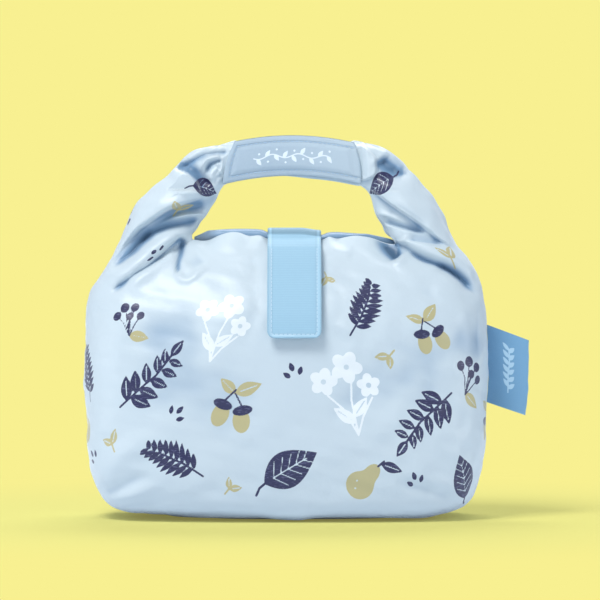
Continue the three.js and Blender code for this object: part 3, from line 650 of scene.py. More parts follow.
def right_body_folds(f):
    """The deep hollow under the right corner of the mouth and soft bulges of the right side."""
    f.ridge(-7.5, 4.0, ((43, 159.4), (49.6, 157), (55, 154.2), (59, 151), (60.6, 148.4)), 0.5, 0.1)
    f.ridge(1.8, 2.0, RIGHT_POCKET_RIM, 0.35, 0.25)
    f.lap(2.6, 1.0, 5, ((59.6, 157.6), (61.4, 154.8), (61.8, 151), (60.4, 147.8), (56.6, 146)), 0.1, 0.3)
    f.ridge(1.6, 2.6, ((20, 155), (28.3, 151.7), (36, 151)))
    f.ridge(1.9, 6.0, ((80, 138), (90, 126), (96, 116), (98, 104)), 0.2, 0.4)
    f.crease(1.8, 1.8, ((105, 124), (106, 112), (105.6, 100), (107, 88)), 0.2, 0.4)
    f.ridge(1.3, 5.0, ((26, 118), (36, 101), (24, 90)))
    f.ridge(-1.4, 12, ((50, 109), (72, 99), (90, 91)))
    f.ridge(-2.4, 9, ((82, 107), (93, 102), (103, 98), (111, 93)), 0.4, 0.1)
    f.ridge(1.3, 5, ((60, 35), (78, 25.4), (92, 19.4), (103, 13)), 0.3, 0.4)
    f.ridge(-1.5, 3.6, ((58, 22.8), (70, 19.8), (84, 14.8), (98, 8.6)), 0.3, 0.4)
    f.ridge(-1.1, 6, ((92, 62), (101, 48), (105, 34)))
    f.ridge(1.0, 8, ((38, 48), (56, 58), (70, 72)), 0.4, 0.4)
    f.ridge(-2.1, 22, ((98, 84), (70, 80), (40, 77), (6, 74)), 0.25, 0.3)


def shade_between_layers(f):
    """Amounts of painted shade where the cloth is seen between its layers."""
    f.ridge(0.5, 2.6, ((-59, 200), (-55.4, 197.6), (-53, 193.6), (-51.8, 190)), 0.15, 0.2)
    f.ridge(0.4, 1.8, ((-57, 201), (-52, 204.4), (-47, 206.4)), 0.2, 0.3)
    f.ridge(0.45, 3.4, ((-41, 182.6), (-47, 179.4), (-55, 177.4), (-63, 175.4)), 0.1, 0.3)
    f.ridge(0.64, 4.4, ((49.8, 205.6), (53.2, 202), (58.4, 199.4), (65, 197.4)), 0.15, 0.1)
    f.ridge(0.55, 2.4, ((50, 196.8), (54, 197.8), (60, 197.4), (65, 196.8)), 0.15, 0.1)
    f.ridge(0.24, 9, ((90, 106), (100, 102), (110, 96)), 0.3, 0.1)
    f.ridge(1.1, 3.5, ((50, 156.4), (55.4, 153.6), (59, 151), (60.6, 148.6)), 0.5, 0.1)


def fold_height(x, z):
    """All folds of one face, seen from it, with its left on the left."""
    f = Folds(x, z)
    left_arm_folds(f)
    left_body_folds(f)
    right_arm_folds(f)
    right_body_folds(f)
    return f.height


def ripples(u, v, wavelength, seed, count=7):
    """Sum of plane waves with random directions, phases and lengths near the wavelength."""
    rng = np.random.default_rng(seed)
    total = np.zeros_like(u)
    for _ in range(count):
        turn = rng.uniform(0, np.pi)
        phase = rng.uniform(0, 2 * np.pi)
        length = wavelength * rng.uniform(0.7, 1.5)
        total += np.sin((u * np.cos(turn) + v * np.sin(turn)) * 2 * np.pi / length + phase)
    return total / math.sqrt(count)


def outer_cloth():
    """Wall and arms as one set of points, with an index grid for each part."""
    wall = wall_grid(BODY_ROWS)
    wall[..., 2] += BASE_RISE(wall[..., 0]) * (1 - smooth(wall[..., 2] / BASE_FADE))
    wall = raised_lip(wall)
    rows = len(wall)
    points = wall.reshape(-1, 3)
    index = {"wall": np.arange(rows * LOOP).reshape(rows, LOOP)}
    for key, right in (("left", False), ("right", True)):
        loop = arm_columns(right)
        grid = arm_grid(right, wall[-1, loop])
        count = grid.shape[1]
        own = np.zeros(grid.shape[:2], int)
        own[0, : len(loop)] = (rows - 1) * LOOP + loop
        own[0, len(loop) :] = len(points) + np.arange(count - len(loop))
        first = len(points) + count - len(loop)
        own[1:] = first + np.arange((len(grid) - 1) * count).reshape(-1, count)
        points = np.concatenate([points, grid[0, len(loop) :], grid[1:].reshape(-1, 3)])
        index[key] = own if right else own[:, ::-1]
    faces = [own.reshape(-1)[quads(*own.shape, True)] for own in index.values()]
    return points, index, np.concatenate(faces)


def shoulder_weight(points):
    """Where the shoulder line is smoothed: close to it, and away from the mouth's corners."""
    x, _, z = points.T
    right = x > 0
    corner_x = np.where(right, MOUTH_RIGHT, MOUTH_LEFT)
    corner_z = CREST - np.where(right, RIGHT_CORNER_DROP, 0)
    foot_x = half_width(np.array(float(SHOULDER_FOOT)), right)
    share = (np.abs(x) - corner_x) / (foot_x - corner_x)
    line = lerp(corner_z, SHOULDER_FOOT, np.clip(share, 0, 1.1))
    near = np.exp(-(((z - line) / SHOULDER_BAND) ** 2))
    return 0.9 * near * smooth((share - 0.1) / 0.3)


def folded_cloth():
    """The outer cloth with its folds, gathers and ripples; the back takes the front's, turned.

    A point moves along its normal by the waves' height, but by the folds' height mostly in y,
    so that the outline stays. "hollow" is the amount of painted shade: it grows where the cloth
    lies below its surroundings or below its rest.
    """
    plain, index, faces = outer_cloth()
    plain = relaxed(plain, faces, shoulder_weight(plain), SHOULDER_PASSES)
    normal = vertex_normals(plain, faces)
    x, y, z = plain.T
    front = smooth(-normal[:, 1] * 1.5)
    back = smooth(normal[:, 1] * 1.5)
    folds = fold_height(x, z) * front + 0.9 * fold_height(-x - 2, z + 0.6) * back
    beside_tab = smooth((np.abs(x - TAB_CENTRE) - 17) / 8)
    free = np.where(y > 0, 1, lerp(1, beside_tab, smooth((z - 30) / 60)))
    high, length = LONG_WAVE
    waves = free * high * ripples(x, z + y * 0.5, length, 3) * smooth(z / 30)
    high, length = SHORT_WAVE
    waves += free * high * ripples(x + y, z * 1.4, length, 5) * smooth(z / 20)
    on_arm = smooth((z - 150) / 20)
    angle = np.arctan2(y, np.abs(x) - ARM_MIDDLE(z))
    waves += on_arm * (1 - 0.85 * front) * ARM_GATHER * np.cos(ARM_GATHERS * angle + z * 0.11)
    points = plain + normal * waves[:, None]
    points += normal * folds[:, None] * np.array(FOLD_SHARES)
    beside_band = smooth(np.where(x > 0, x - BEHIND_BAND_RIGHT, BEHIND_BAND_LEFT - x) / 7)
    limit = np.where(z > BEHIND_BAND_FOOT, BEHIND_BAND_Y - BESIDE_BAND_MORE * beside_band, -99)
    points[:, 1] = np.maximum(points[:, 1], limit)
    points[:, 2] = np.maximum(points[:, 2], FLOOR_GAP)
    height = (folds + waves)[:, None]
    # Painted shade: "hollow" darkens the cloth where it lies below its smoothed surroundings or deep below
    # its rest, and where it is seen between its layers
    around = relaxed(height, faces, np.ones(len(points)), HOLLOW_PASSES)
    hollow = 0.95 * smooth((around - height - 0.2) / 2.6)[:, 0]
    hollow = np.maximum(hollow, 0.9 * smooth((-height[:, 0] - 0.8) / 5))
    hollow += smooth((-height[:, 0] - 5) / 5)
    layer_shade = Folds(x, z)
    shade_between_layers(layer_shade)
    hollow += layer_shade.height * front
    cloth = {"plain": plain, "points": points, "index": index, "hollow": hollow}
    cloth["normals"] = vertex_normals(points, faces)
    return cloth


def make_piece(name, points, faces, material, normals=None):
    """A mesh object at the origin from millimetre points and faces."""
    mesh = bpy.data.meshes.new(name)
    mesh.from_pydata((np.asarray(points) * MM).tolist(), [], np.asarray(faces).tolist())
    mesh.polygons.foreach_set("use_smooth", np.ones(len(mesh.polygons), bool))
    mesh.materials.append(material)
    mesh.update()
    piece = bpy.data.objects.new(name, mesh)
    bpy.context.scene.collection.objects.link(piece)
    if normals is not None:
        mesh.normals_split_custom_set_from_vertices(normals.tolist())
    return piece


def sheet_piece(name, outer, inner, material, slot, around=False):
    """A closed sheet from two grids of one size, joined along their free edges."""
    rows, columns = outer.shape[:2]
    count = rows * columns
    points = np.concatenate([outer.reshape(-1, 3), inner.reshape(-1, 3)])
    face = quads(rows, columns, around)
    faces = [face, face[:, ::-1] + count]
    low = np.arange(columns + around) % columns
    borders = [low, (low + (rows - 1) * columns)[::-1]]
    if not around:
        left = np.arange(rows) * columns
        borders += [left[::-1], left + columns - 1]
    for line in borders:
        a, b = line[:-1], line[1:]
        faces.append(np.stack([b, a, a + count, b + count], -1))
    faces = facing_out(points, np.concatenate(faces))
    piece = make_piece(name, points, faces, material)
    piece.data.set_sharp_from_angle(angle=math.radians(60))
    return piece


def node(tree, kind, settings=None, **sockets):
    """Adds a node; a socket's value is a number, a colour or another node's output."""
    made = tree.nodes.new(kind)
    for name, value in (settings or {}).items():
        setattr(made, name, value)
    for name, value in sockets.items():
        key = int(name[1:]) if name[1:].isdigit() else name.replace("_", " ")
        if isinstance(value, bpy.types.NodeSocket):
            tree.links.new(value, made.inputs[key])
        else:
            made.inputs[key].default_value = value
    return made


def finish(name, colour, roughness, sheen=0.0, specular=0.5):
    """A material with its plain values on the shader's own sockets."""
    made = bpy.data.materials.new(name)
    made.use_nodes = True
    shader = made.node_tree.nodes["Principled BSDF"]
    shader.inputs["Base Color"].default_value = (*colour, 1)
    shader.inputs["Roughness"].default_value = roughness
    shader.inputs["Specular IOR Level"].default_value = specular
    shader.inputs["Sheen Weight"].default_value = sheen
    shader.inputs["Sheen Roughness"].default_value = 0.4
    return made, made.node_tree, shader


def math_node(tree, operation, a, b=0.0):
    return node(tree, "ShaderNodeMath", {"operation": operation}, _0=a, _1=b).outputs[0]


def mix_colour(tree, factor, a, b):
    """Colour mix of a and b; colours are 4-tuples or outputs."""
    return node(tree, "ShaderNodeMix", {"data_type": "RGBA"}, _0=factor, _6=a, _7=b).outputs[2]


def ranged(tree, value, low, high, **settings):
    """A value brought from low..high to 0..1."""
    return node(tree, "ShaderNodeMapRange", settings, Value=value, From_Min=low, From_Max=high).outputs[0]


def product(tree, a, b):
    """Math node that multiplies two values."""
    return math_node(tree, "MULTIPLY", a, b)


def object_point(tree):
    return node(tree, "ShaderNodeTexCoord").outputs["Object"]


def object_axis(tree, axis):
    """One Object coordinate, in metres."""
    return node(tree, "ShaderNodeSeparateXYZ", None, Vector=object_point(tree)).outputs[axis]


def noise(tree, scale, detail=2.0, vector=None):
    """Noise over Object coordinates, with scale in waves per metre."""
    vector = vector or object_point(tree)
    made = node(tree, "ShaderNodeTexNoise", None, Vector=vector, Scale=float(scale), Detail=float(detail))
    return made.outputs["Fac"]


def threads(tree, pitch, axis):
    """Weave lines across one Object axis: the sine of its coordinate over the pitch in mm."""
    return math_node(tree, "SINE", product(tree, object_axis(tree, axis), 2 * math.pi / (pitch * MM)))


def bumped(tree, shader, height, strength, distance):
    """Feeds a height to the shader's normal, over any bump that is already there."""
    made = node(tree, "ShaderNodeBump", None, Strength=strength, Distance=distance * MM, Height=height)
    if shader.inputs["Normal"].is_linked:
        tree.links.new(shader.inputs["Normal"].links[0].from_socket, made.inputs["Normal"])
    tree.links.new(made.outputs[0], shader.inputs["Normal"])


# Colours of the printed cloth and its inks, and of the shade painted into its hollows
CLOTH_BLUE = (0.59, 0.682, 0.73)
PALE_BLUE = (0.64, 0.72, 0.75, 1)
SHADE_BLUE = (0.2, 0.33, 0.48, 1)
DEEP_SHADE_BLUE = (0.06, 0.13, 0.22, 1)
NAVY = (0.026, 0.026, 0.085, 1)
WORN_NAVY = (0.16, 0.17, 0.3, 1)
KHAKI = (0.53, 0.47, 0.24, 1)
CREAM = (0.86, 0.9, 0.9, 1)
INKS = ("navy", "khaki", "cream")


def darker(colour, share):
    """A colour brought down to a share of itself, as a 4-tuple."""
    return (*(c * share for c in colour), 1)


def attribute(tree, name):
    return node(tree, "ShaderNodeAttribute", {"attribute_name": name}).outputs["Fac"]


def ink_mask(tree, name, wobble):
    """1 inside a printed shape, from its signed distance in mm and a little wobble."""
    edge = math_node(tree, "ADD", attribute(tree, name), wobble)
    return ranged(tree, edge, -0.12, 0.12, interpolation_type="SMOOTHSTEP")


def printed_cloth():
    """Pale blue satin with three inks, painted shade in its hollows, fine wrinkles and weave."""
    made, tree, shader = finish("printed_satin", CLOTH_BLUE, 0.39, 0.35, 0.55)
    colour = mix_colour(tree, noise(tree, 14, 3), (*CLOTH_BLUE, 1), PALE_BLUE)
    # Painted shade: "hollow" darkens the cloth to a shade blue, and beyond 1 to a deeper shade blue
    colour = mix_colour(tree, attribute(tree, "hollow"), colour, SHADE_BLUE)
    colour = mix_colour(tree, math_node(tree, "SUBTRACT", attribute(tree, "hollow"), 1.0), colour, DEEP_SHADE_BLUE)
    grain = math_node(tree, "SUBTRACT", noise(tree, 2600, 2), 0.5)
    wobble = product(tree, grain, 0.5)
    colour = mix_colour(tree, ink_mask(tree, "cream", wobble), colour, CREAM)
    colour = mix_colour(tree, ink_mask(tree, "khaki", wobble), colour, KHAKI)
    brush = {"Rotation": (0, 0.6, 0), "Scale": (1, 1, 5)}
    brushed = node(tree, "ShaderNodeMapping", None, Vector=object_point(tree), **brush).outputs[0]
    scratch = ranged(tree, noise(tree, 330, 4, brushed), 0.56, 0.66)
    dark = mix_colour(tree, product(tree, scratch, 0.55), NAVY, WORN_NAVY)
    colour = mix_colour(tree, ink_mask(tree, "navy", wobble), colour, dark)
    tree.links.new(colour, shader.inputs["Base Color"])
    bumped(tree, shader, noise(tree, 95, 4), 0.35, 1.1)
    bumped(tree, shader, noise(tree, 340, 3), 0.2, 0.35)
    weave = math_node(tree, "ADD", threads(tree, 0.42, 0), threads(tree, 0.42, 2))
    bumped(tree, shader, weave, 0.12, 0.04)
    return made


def woven_tape(name, colour, deep, pitch, strength):
    """Ribbed woven tape: cross ribs darken and raise its colour, with a fine lengthwise yarn, and painted
    shade and highlight from a "shaded" attribute.
    """
    made, tree, shader = finish(name, colour, 0.7, 0.3, 0.3)
    ribs = ranged(tree, threads(tree, pitch, 2), -1.0, 1.0)
    patchy = product(tree, ribs, noise(tree, 420, 3))
    tone = mix_colour(tree, patchy, (*deep, 1), (*colour, 1))
    # Painted shade where "shaded" is positive, and a painted highlight where it is negative
    tone = mix_colour(tree, attribute(tree, "shaded"), tone, darker(deep, 0.55))
    edge_highlight = product(tree, attribute(tree, "shaded"), -1.0)
    tone = mix_colour(tree, edge_highlight, tone, (0.56, 0.75, 0.85, 1))
    tree.links.new(tone, shader.inputs["Base Color"])
    bumped(tree, shader, ribs, strength, 0.2)
    bumped(tree, shader, threads(tree, 0.5, 0), 0.15, 0.06)
    bumped(tree, shader, noise(tree, 1400, 3), 0.3, 0.12)
    return made


MOTIF_WHITE = (0.82, 0.89, 0.94, 1)
LABEL_YARN = (0.47, 0.68, 0.82, 1)


def brushed_cloth():
    """Matt grey-blue cloth of the grip, with a soft nap, painted light towards its right end and a white
    garland.
    """
    colour = (0.44, 0.54, 0.62)
    made, tree, shader = finish("grip_nap", colour, 0.78, 0.5, 0.25)
    tone = mix_colour(tree, noise(tree, 900, 3), (0.38, 0.49, 0.58, 1), (0.5, 0.6, 0.67, 1))
    tone = mix_colour(tree, noise(tree, 45, 2), tone, (*colour, 1))
    # Painted light: the band turns paler towards its right end
    painted_light_right = product(tree, ranged(tree, object_axis(tree, 0), -0.012, 0.036), 0.75)
    tone = mix_colour(tree, painted_light_right, tone, (0.54, 0.635, 0.69, 1))
    tone = mix_colour(tree, ink_mask(tree, "motif", 0.0), tone, MOTIF_WHITE)
    tree.links.new(tone, shader.inputs["Base Color"])
    bumped(tree, shader, noise(tree, 2100, 3), 0.45, 0.14)
    bumped(tree, shader, noise(tree, 160, 3), 0.3, 0.6)
    return made


def label_satin():
    """Woven satin label: mid blue with painted shade near the seam, cross threads and a pale sprig."""
    made, tree, shader = finish("label_satin", (0.2, 0.4, 0.63), 0.5, 0.3, 0.4)
    # Painted shade: darker near the seam, lighter outwards
    outwards = ranged(tree, object_axis(tree, 0), 0.111, 0.13)
    tone = mix_colour(tree, outwards, (0.115, 0.285, 0.48, 1), (0.18, 0.39, 0.59, 1))
    fleck = product(tree, noise(tree, 1500, 2), 0.25)
    tone = mix_colour(tree, fleck, tone, (0.34, 0.5, 0.66, 1))
    tone = mix_colour(tree, ink_mask(tree, "motif", 0.0), tone, LABEL_YARN)
    tree.links.new(tone, shader.inputs["Base Color"])
    bumped(tree, shader, threads(tree, 0.55, 2), 0.3, 0.1)
    bumped(tree, shader, threads(tree, 0.45, 0), 0.15, 0.06)
    return made


def pile(name, colour, size, strength):
    """Hook or loop pile: a dense field of small bumps."""
    made, tree, shader = finish(name, colour, 0.9, 0.6, 0.2)
    cells = node(tree, "ShaderNodeTexVoronoi", None, Vector=object_point(tree), Scale=1 / (size * MM))
    grain = cells.outputs["Distance"]
    tone = mix_colour(tree, grain, (*colour, 1), darker(colour, 0.72))
    tree.links.new(tone, shader.inputs["Base Color"])
    bumped(tree, shader, grain, strength, 0.4)
    return made


def plain_with_grain(name, colour, roughness, scale, depth, sheen=0.0):
    """A plain finish with slight colour variation and a fine grain."""
    made, tree, shader = finish(name, colour, roughness, sheen)
    tone = mix_colour(tree, noise(tree, scale * 0.2, 3), (*colour, 1), darker(colour, 0.9))
    tree.links.new(tone, shader.inputs["Base Color"])
    bumped(tree, shader, noise(tree, scale, 3), 0.4, depth)
    return made


CLOTH = printed_cloth()
WEBBING = woven_tape("tab_tape", (0.385, 0.6, 0.715), (0.345, 0.55, 0.68), RIB_PITCH, 0.15)
GRIP = brushed_cloth()
LABEL = label_satin()
HOOKS = pile("hook_pile", (0.46, 0.66, 0.82), 0.9, 0.8)
LOOPS = pile("loop_pile", (0.52, 0.72, 0.87), 0.6, 0.5)
FILM = plain_with_grain("liner_skin", (0.84, 0.88, 0.89), 0.3, 90, 0.7)
PLASTIC = plain_with_grain("stud_shell", (0.87, 0.9, 0.9), 0.35, 500, 0.03)
BINDING = woven_tape("binding_tape", (0.7, 0.8, 0.87), (0.6, 0.72, 0.82), 0.9, 0.3)
THREAD = plain_with_grain("sewing_thread", (0.42, 0.6, 0.78), 0.6, 3000, 0.05, 0.4)
PALE_THREAD = plain_with_grain("pale_thread", (0.72, 0.84, 0.93), 0.6, 3000, 0.05, 0.4)


# Signed distances in mm, positive inside: of a place off every line, and off every printed shape
NO_LINE = -99.0
NO_PRINT = -9.0


def turned(a, b, turn):
    """Parts of (a, b) along and across the direction at an angle."""
    c, s = math.cos(turn), math.sin(turn)
    return a * c + b * s, b * c - a * s


def oval(p, q, at, radii, turn=0.0):
    """Signed distance of an oval, near enough for round ones."""
    a, b = turned(p - at[0], q - at[1], turn)
    return (1 - np.hypot(a / radii[0], b / radii[1])) * min(radii)


def stroke(p, q, points, radius):
    """Signed distance of a line of straight parts with round ends."""
    best = np.full_like(p, NO_LINE)
    for (ax, ay), (bx, by) in zip(points[:-1], points[1:]):
        dx, dy = bx - ax, by - ay
        t = np.clip(((p - ax) * dx + (q - ay) * dy) / (dx * dx + dy * dy), 0, 1)
        best = np.maximum(best, radius - np.hypot(p - ax - t * dx, q - ay - t * dy))
    return best


def joined(a, b, width):
    """Larger of two signed distances, with the corner between them filled over a width."""
    share = np.clip(0.5 + 0.5 * (b - a) / width, 0, 1)
    return lerp(a, b, share) + width * share * (1 - share)


def leaf(p, q, at, turn, length, width, vein=True):
    """A leaf along its own axis, half width = width / 2 * sin(pi * share^0.8), with a vein gap."""
    a, b = turned(p - at[0], q - at[1], turn)
    share = np.clip(a / length, 0, 1)
    half = width / 2 * np.sin(np.pi * share**0.8)
    beyond = np.maximum(np.maximum(-a, a - length), 0)
    value = np.where(beyond > 0, -np.hypot(beyond, b), half - np.abs(b))
    inside = (share > 0.16) & (share < 0.82)
    return np.where(inside, np.minimum(value, np.abs(b) - 0.32), value) if vein else value


def branch(p, q):
    """A curved stem with paired leaves and one at its tip."""
    value = stroke(p, q, [(-20, -8), (-8, -4), (4, 0), (15, 7)], 0.55)
    for i, (x, y) in enumerate(((-15, -6.4), (-9, -4.4), (-2, -2), (5, 0.6), (10, 3.8))):
        size = 13 - 1.2 * i
        value = np.maximum(value, leaf(p, q, (x, y), 1.35, size, size * 0.5))
        value = np.maximum(value, leaf(p, q, (x + 2.5, y + 0.8), -0.75, size, size * 0.5))
    return {"navy": np.maximum(value, leaf(p, q, (14, 6.4), 0.6, 10, 5))}


def broad_leaf(p, q):
    """One large navy leaf with a stalk and side veins left bare."""
    value = leaf(p, q, (-17, 0), 0.0, 35, 21)
    for k in range(5):
        x = -11 + 5 * k
        for sign in (-1, 1):
            value = np.minimum(value, -stroke(p, q, [(x, 0), (x + 5.5, sign * (8 - 0.8 * k))], 0.32))
    return {"navy": np.maximum(value, stroke(p, q, [(-25, -3), (-21, -0.6), (-16, 0)], 0.7))}


def acorns(p, q):
    """Two khaki acorns under navy caps, with leaves."""
    khaki = np.maximum(leaf(p, q, (0, 7), 0.5, 15, 7.5), leaf(p, q, (0, 7), 2.5, 12, 6))
    navy = np.full_like(p, NO_LINE)
    for x, y, turn in ((-6, -3, -0.25), (6, -5, 0.3)):
        khaki = np.maximum(khaki, oval(p, q, (x, y - 2), (6.4, 4.7), turn + math.pi / 2))
        navy = np.maximum(navy, oval(p, q, (x - 1.5 * turn, y + 3.6), (5.4, 2.7), turn))
        navy = np.maximum(navy, stroke(p, q, [(x - 2 * turn, y + 5), (0, y + 12)], 0.5))
    return {"khaki": khaki, "navy": navy}


def pear(p, q):
    """A khaki pear: two ovals run together, with a navy leaf and stalk."""
    body = joined(oval(p, q, (0, -5), (8.4, 7.8)), oval(p, q, (1, 4), (4.4, 6.6)), 3.0)
    spots = np.maximum(oval(p, q, (-3, -4), (0.6, 0.6)), oval(p, q, (-1, -8), (0.6, 0.6)))
    stalk = stroke(p, q, [(1.4, 10), (2.4, 14.5)], 0.6)
    navy = np.maximum(stalk, leaf(p, q, (2.2, 12.4), 0.35, 13, 6))
    return {"khaki": np.minimum(body, -spots), "navy": navy}


def blossoms(p, q):
    """Cream flowers with five petals on thin stems, with leaves."""
    value = np.maximum(leaf(p, q, (0.4, -14), 2.3, 13, 6), leaf(p, q, (0.4, -11), 0.7, 12, 5.5))
    for x, y, r in ((-9, 9, 7), (4, 13, 8), (12, 2, 6)):
        away = np.hypot(p - x, q - y)
        turn = np.arctan2(q - y, p - x)
        reach = r * (0.66 + 0.34 * np.abs(np.cos(2.5 * turn + x)))
        value = np.maximum(value, np.minimum(reach - away, away - 1.3))
        value = np.maximum(value, stroke(p, q, [(0, -20), (x * 0.4, y - r - 8), (x, y - r)], 0.5))
    return {"cream": value}


def fern(p, q):
    """A navy fern: narrow leaflets along a bent stem."""
    value = stroke(p, q, [(0, -19), (1.4, -6), (0.6, 8), (-3, 18)], 0.5)
    for i in range(9):
        y = -13 + 3.4 * i
        size = 11.5 - abs(i - 2.5) * 1.1
        x = 1.2 - 0.5 * max(i - 5, 0)
        value = np.maximum(value, leaf(p, q, (x, y), 0.55, size, 2.9, False))
        value = np.maximum(value, leaf(p, q, (x, y + 1), math.pi - 0.55, size, 2.9, False))
    return {"navy": value}


def berries(p, q):
    """A navy berry spray with a khaki leaf."""
    navy = np.full_like(p, NO_LINE)
    for x, y, r in ((-7, 6, 3), (-1, 10, 3.2), (6, 8, 2.9), (9, 1, 2.7), (2, 3, 2.6)):
        navy = np.maximum(navy, oval(p, q, (x, y), (r, r)))
        navy = np.maximum(navy, stroke(p, q, [(0, -10), (x * 0.4, y - 6), (x, y)], 0.4))
    return {"navy": navy, "khaki": leaf(p, q, (0, -9), -0.5, 14, 7)}


def seeds(p, q):
    """Three small navy drops."""
    left = leaf(p, q, (-2.2, -2.4), 2.2, 4.6, 2.5, False)
    middle = leaf(p, q, (0, 0), 1.57, 5, 2.7, False)
    right = leaf(p, q, (2.2, -2.4), 0.95, 4.6, 2.5, False)
    return {"navy": np.maximum(np.maximum(left, middle), right)}


def twin_leaf(p, q):
    """Two small khaki leaves on a short stalk."""
    value = np.maximum(leaf(p, q, (0, 0), 0.7, 8, 4.2), leaf(p, q, (0, 0), 2.2, 7, 3.8))
    return {"khaki": np.maximum(value, stroke(p, q, [(0, 0.5), (-0.6, -4)], 0.5))}


MOTIF_REACH = 32
# Motif, place (across, up) in mm, turn in degrees and size
WALL_PRINT = (
    (branch, (-78, 84), 14, 1.1),
    (blossoms, (-38, 108), -14, 1.0),
    (berries, (-92, 118), 12, 0.9),
    (acorns, (-30, 62), -12, 1.05),
    (fern, (-66, 36), 58, 1.1),
    (twin_leaf, (-104, 50), 30, 1.15),
    (seeds, (-62, 62), -50, 1.1),
    (broad_leaf, (2, 26), 30, 1.0),
    (twin_leaf, (-34, 16), -40, 1.0),
    (blossoms, (34, 68), 18, 1.15),
    (seeds, (4, 80), 20, 1.15),
    (fern, (44, 120), -24, 1.05),
    (acorns, (82, 108), 26, 0.95),
    (branch, (80, 58), -156, 1.1),
    (twin_leaf, (58, 92), 150, 1.1),
    (pear, (46, 22), -34, 1.0),
    (seeds, (76, 24), 30, 1.1),
    (berries, (108, 84), -10, 0.95),
    (broad_leaf, (110, 28), 118, 0.8),
    (fern, (-126, 92), 8, 0.9),
    (seeds, (-122, 44), 40, 1.0),
    (pear, (-136, 62), 40, 0.9),
    (acorns, (136, 60), 8, 0.9),
    (twin_leaf, (24, 138), 200, 1.0),
)
# Motif, place (x, z) seen from the front, whether on the front, turn and size
ARM_PRINT = {
    "left": (
        (broad_leaf, (-48, 187.5), True, 35, 0.55),
        (twin_leaf, (-64, 175), True, 10, 1.1),
        (seeds, (-77, 151), True, 50, 1.0),
        (seeds, (-92, 172), True, -30, 1.0),
        (acorns, (-76, 180), False, 60, 0.8),
        (fern, (-60, 196), False, 20, 0.6),
    ),
    "right": (
        (broad_leaf, (50, 189), True, 160, 0.62),
        (twin_leaf, (90, 148), True, 20, 1.25),
        (pear, (74, 178), False, 60, 0.75),
        (berries, (56, 198), False, -20, 0.7),
    ),
}


def inks_at(u, v, layout):
    """Signed distance in mm from each ink's nearest shape, over the cloth's own coordinates."""
    shape = u.shape
    u = u.reshape(-1)
    v = v.reshape(-1)
    inks = {name: np.full(u.shape, NO_PRINT) for name in INKS}
    for motif, (across, up), turn, size in layout:
        near = np.flatnonzero((np.abs(u - across) < MOTIF_REACH) & (np.abs(v - up) < MOTIF_REACH))
        a = (u[near] - across) / size
        b = (v[near] - up) / size
        for name, value in motif(*turned(a, b, math.radians(turn))).items():
            inks[name][near] = np.maximum(inks[name][near], value * size)
    return {name: value.reshape(shape) for name, value in inks.items()}


def set_attributes(piece, values):
    """Writes one number a point for each name; a single number goes to all points."""
    count = len(piece.data.vertices)
    for name, value in values.items():
        layer = piece.data.attributes.new(name, "FLOAT", "POINT")
        spread = np.broadcast_to(np.asarray(value, np.float32).reshape(-1), count)
        layer.data.foreach_set("value", np.ascontiguousarray(spread))


def unprinted(hollow):
    """Point values of cloth without print, with its amount of painted shade."""
    return {**dict.fromkeys(INKS, NO_PRINT), "hollow": hollow}


def on_outer_face(motif):
    """A motif's values on a sheet's first grid, and none on its second."""
    return {"motif": np.concatenate([motif.reshape(-1), np.full(motif.size, NO_PRINT)])}


def running_length(grid, axis):
    """Length along a grid's rows or columns from its first point."""
    step = np.linalg.norm(np.diff(grid, axis=axis), axis=-1)
    zero = np.zeros_like(np.take(step, [0], axis))
    return np.concatenate([zero, np.cumsum(step, axis)], axis)


def cloth_piece(name, cloth, own, around, inks):
    """One piece of the outer cloth, cut from the whole by its index grid."""
    flat = own.reshape(-1)
    faces = quads(*own.shape, around)
    piece = make_piece(name, cloth["points"][flat], faces, CLOTH, cloth["normals"][flat])
    set_attributes(piece, {**inks, "hollow": cloth["hollow"][flat]})
    return piece


def make_walls(cloth):
    """Front and back cloth, each from seam to seam, printed over their own flat length."""
    plain = wall_grid(BODY_ROWS)
    row = int(BODY_ROWS * (PRINT_ROW / CREST) ** (1 / ROW_EASE))
    halves = (
        ("front_cloth", np.arange(COLUMNS), "front_panel"),
        ("back_cloth", np.append(np.arange(COLUMNS - 1, LOOP), 0), "back_panel"),
    )
    for name, columns, panel in halves:
        own = cloth["index"]["wall"][:, columns]
        u = running_length(plain[:, columns], 1)[row]
        u = np.broadcast_to(u - u[-1] / 2, own.shape)
        v = running_length(plain[:, columns], 0) - 10
        piece = cloth_piece(name, cloth, own, False, inks_at(u, v, WALL_PRINT))
        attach(piece, "bag")
        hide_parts(panel)


def placed_on(grid, u, v, layout):
    """A layout given in the front view, brought to the nearest point's own coordinates."""
    for motif, (x, z), in_front_view, turn, size in layout:
        hidden = grid[..., 1] > 0 if in_front_view else grid[..., 1] < 0
        spot = np.argmin(np.hypot(grid[..., 0] - x, grid[..., 2] - z) + 999 * hidden)
        yield motif, (u.flat[spot], v.flat[spot]), turn, size


def make_arms(cloth):
    """Both arms, from the bag to the grip."""
    for key in ("left", "right"):
        own = cloth["index"][key]
        grid = cloth["plain"][own]
        u = running_length(grid, 1)
        v = running_length(grid, 0)
        front = np.argmin(grid[ARM_ROWS // 2, :, 1])
        u = u - u[:, front : front + 1]
        v = v[:, front : front + 1] + 0 * u
        layout = placed_on(grid, u, v, ARM_PRINT[key])
        piece = cloth_piece("arm_cloth_" + key, cloth, own, True, inks_at(u, v, layout))
        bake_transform(piece)
        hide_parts("arm_" + key, "shoulder_" + key)


def plain_cloth(name, grid, around=False, hollow=0.0):
    """A piece of unprinted shell cloth from one grid, with an amount of painted shade."""
    faces = quads(*grid.shape[:2], around)
    piece = make_piece(name, grid.reshape(-1, 3), faces, CLOTH)
    set_attributes(piece, unprinted(hollow))
    return piece


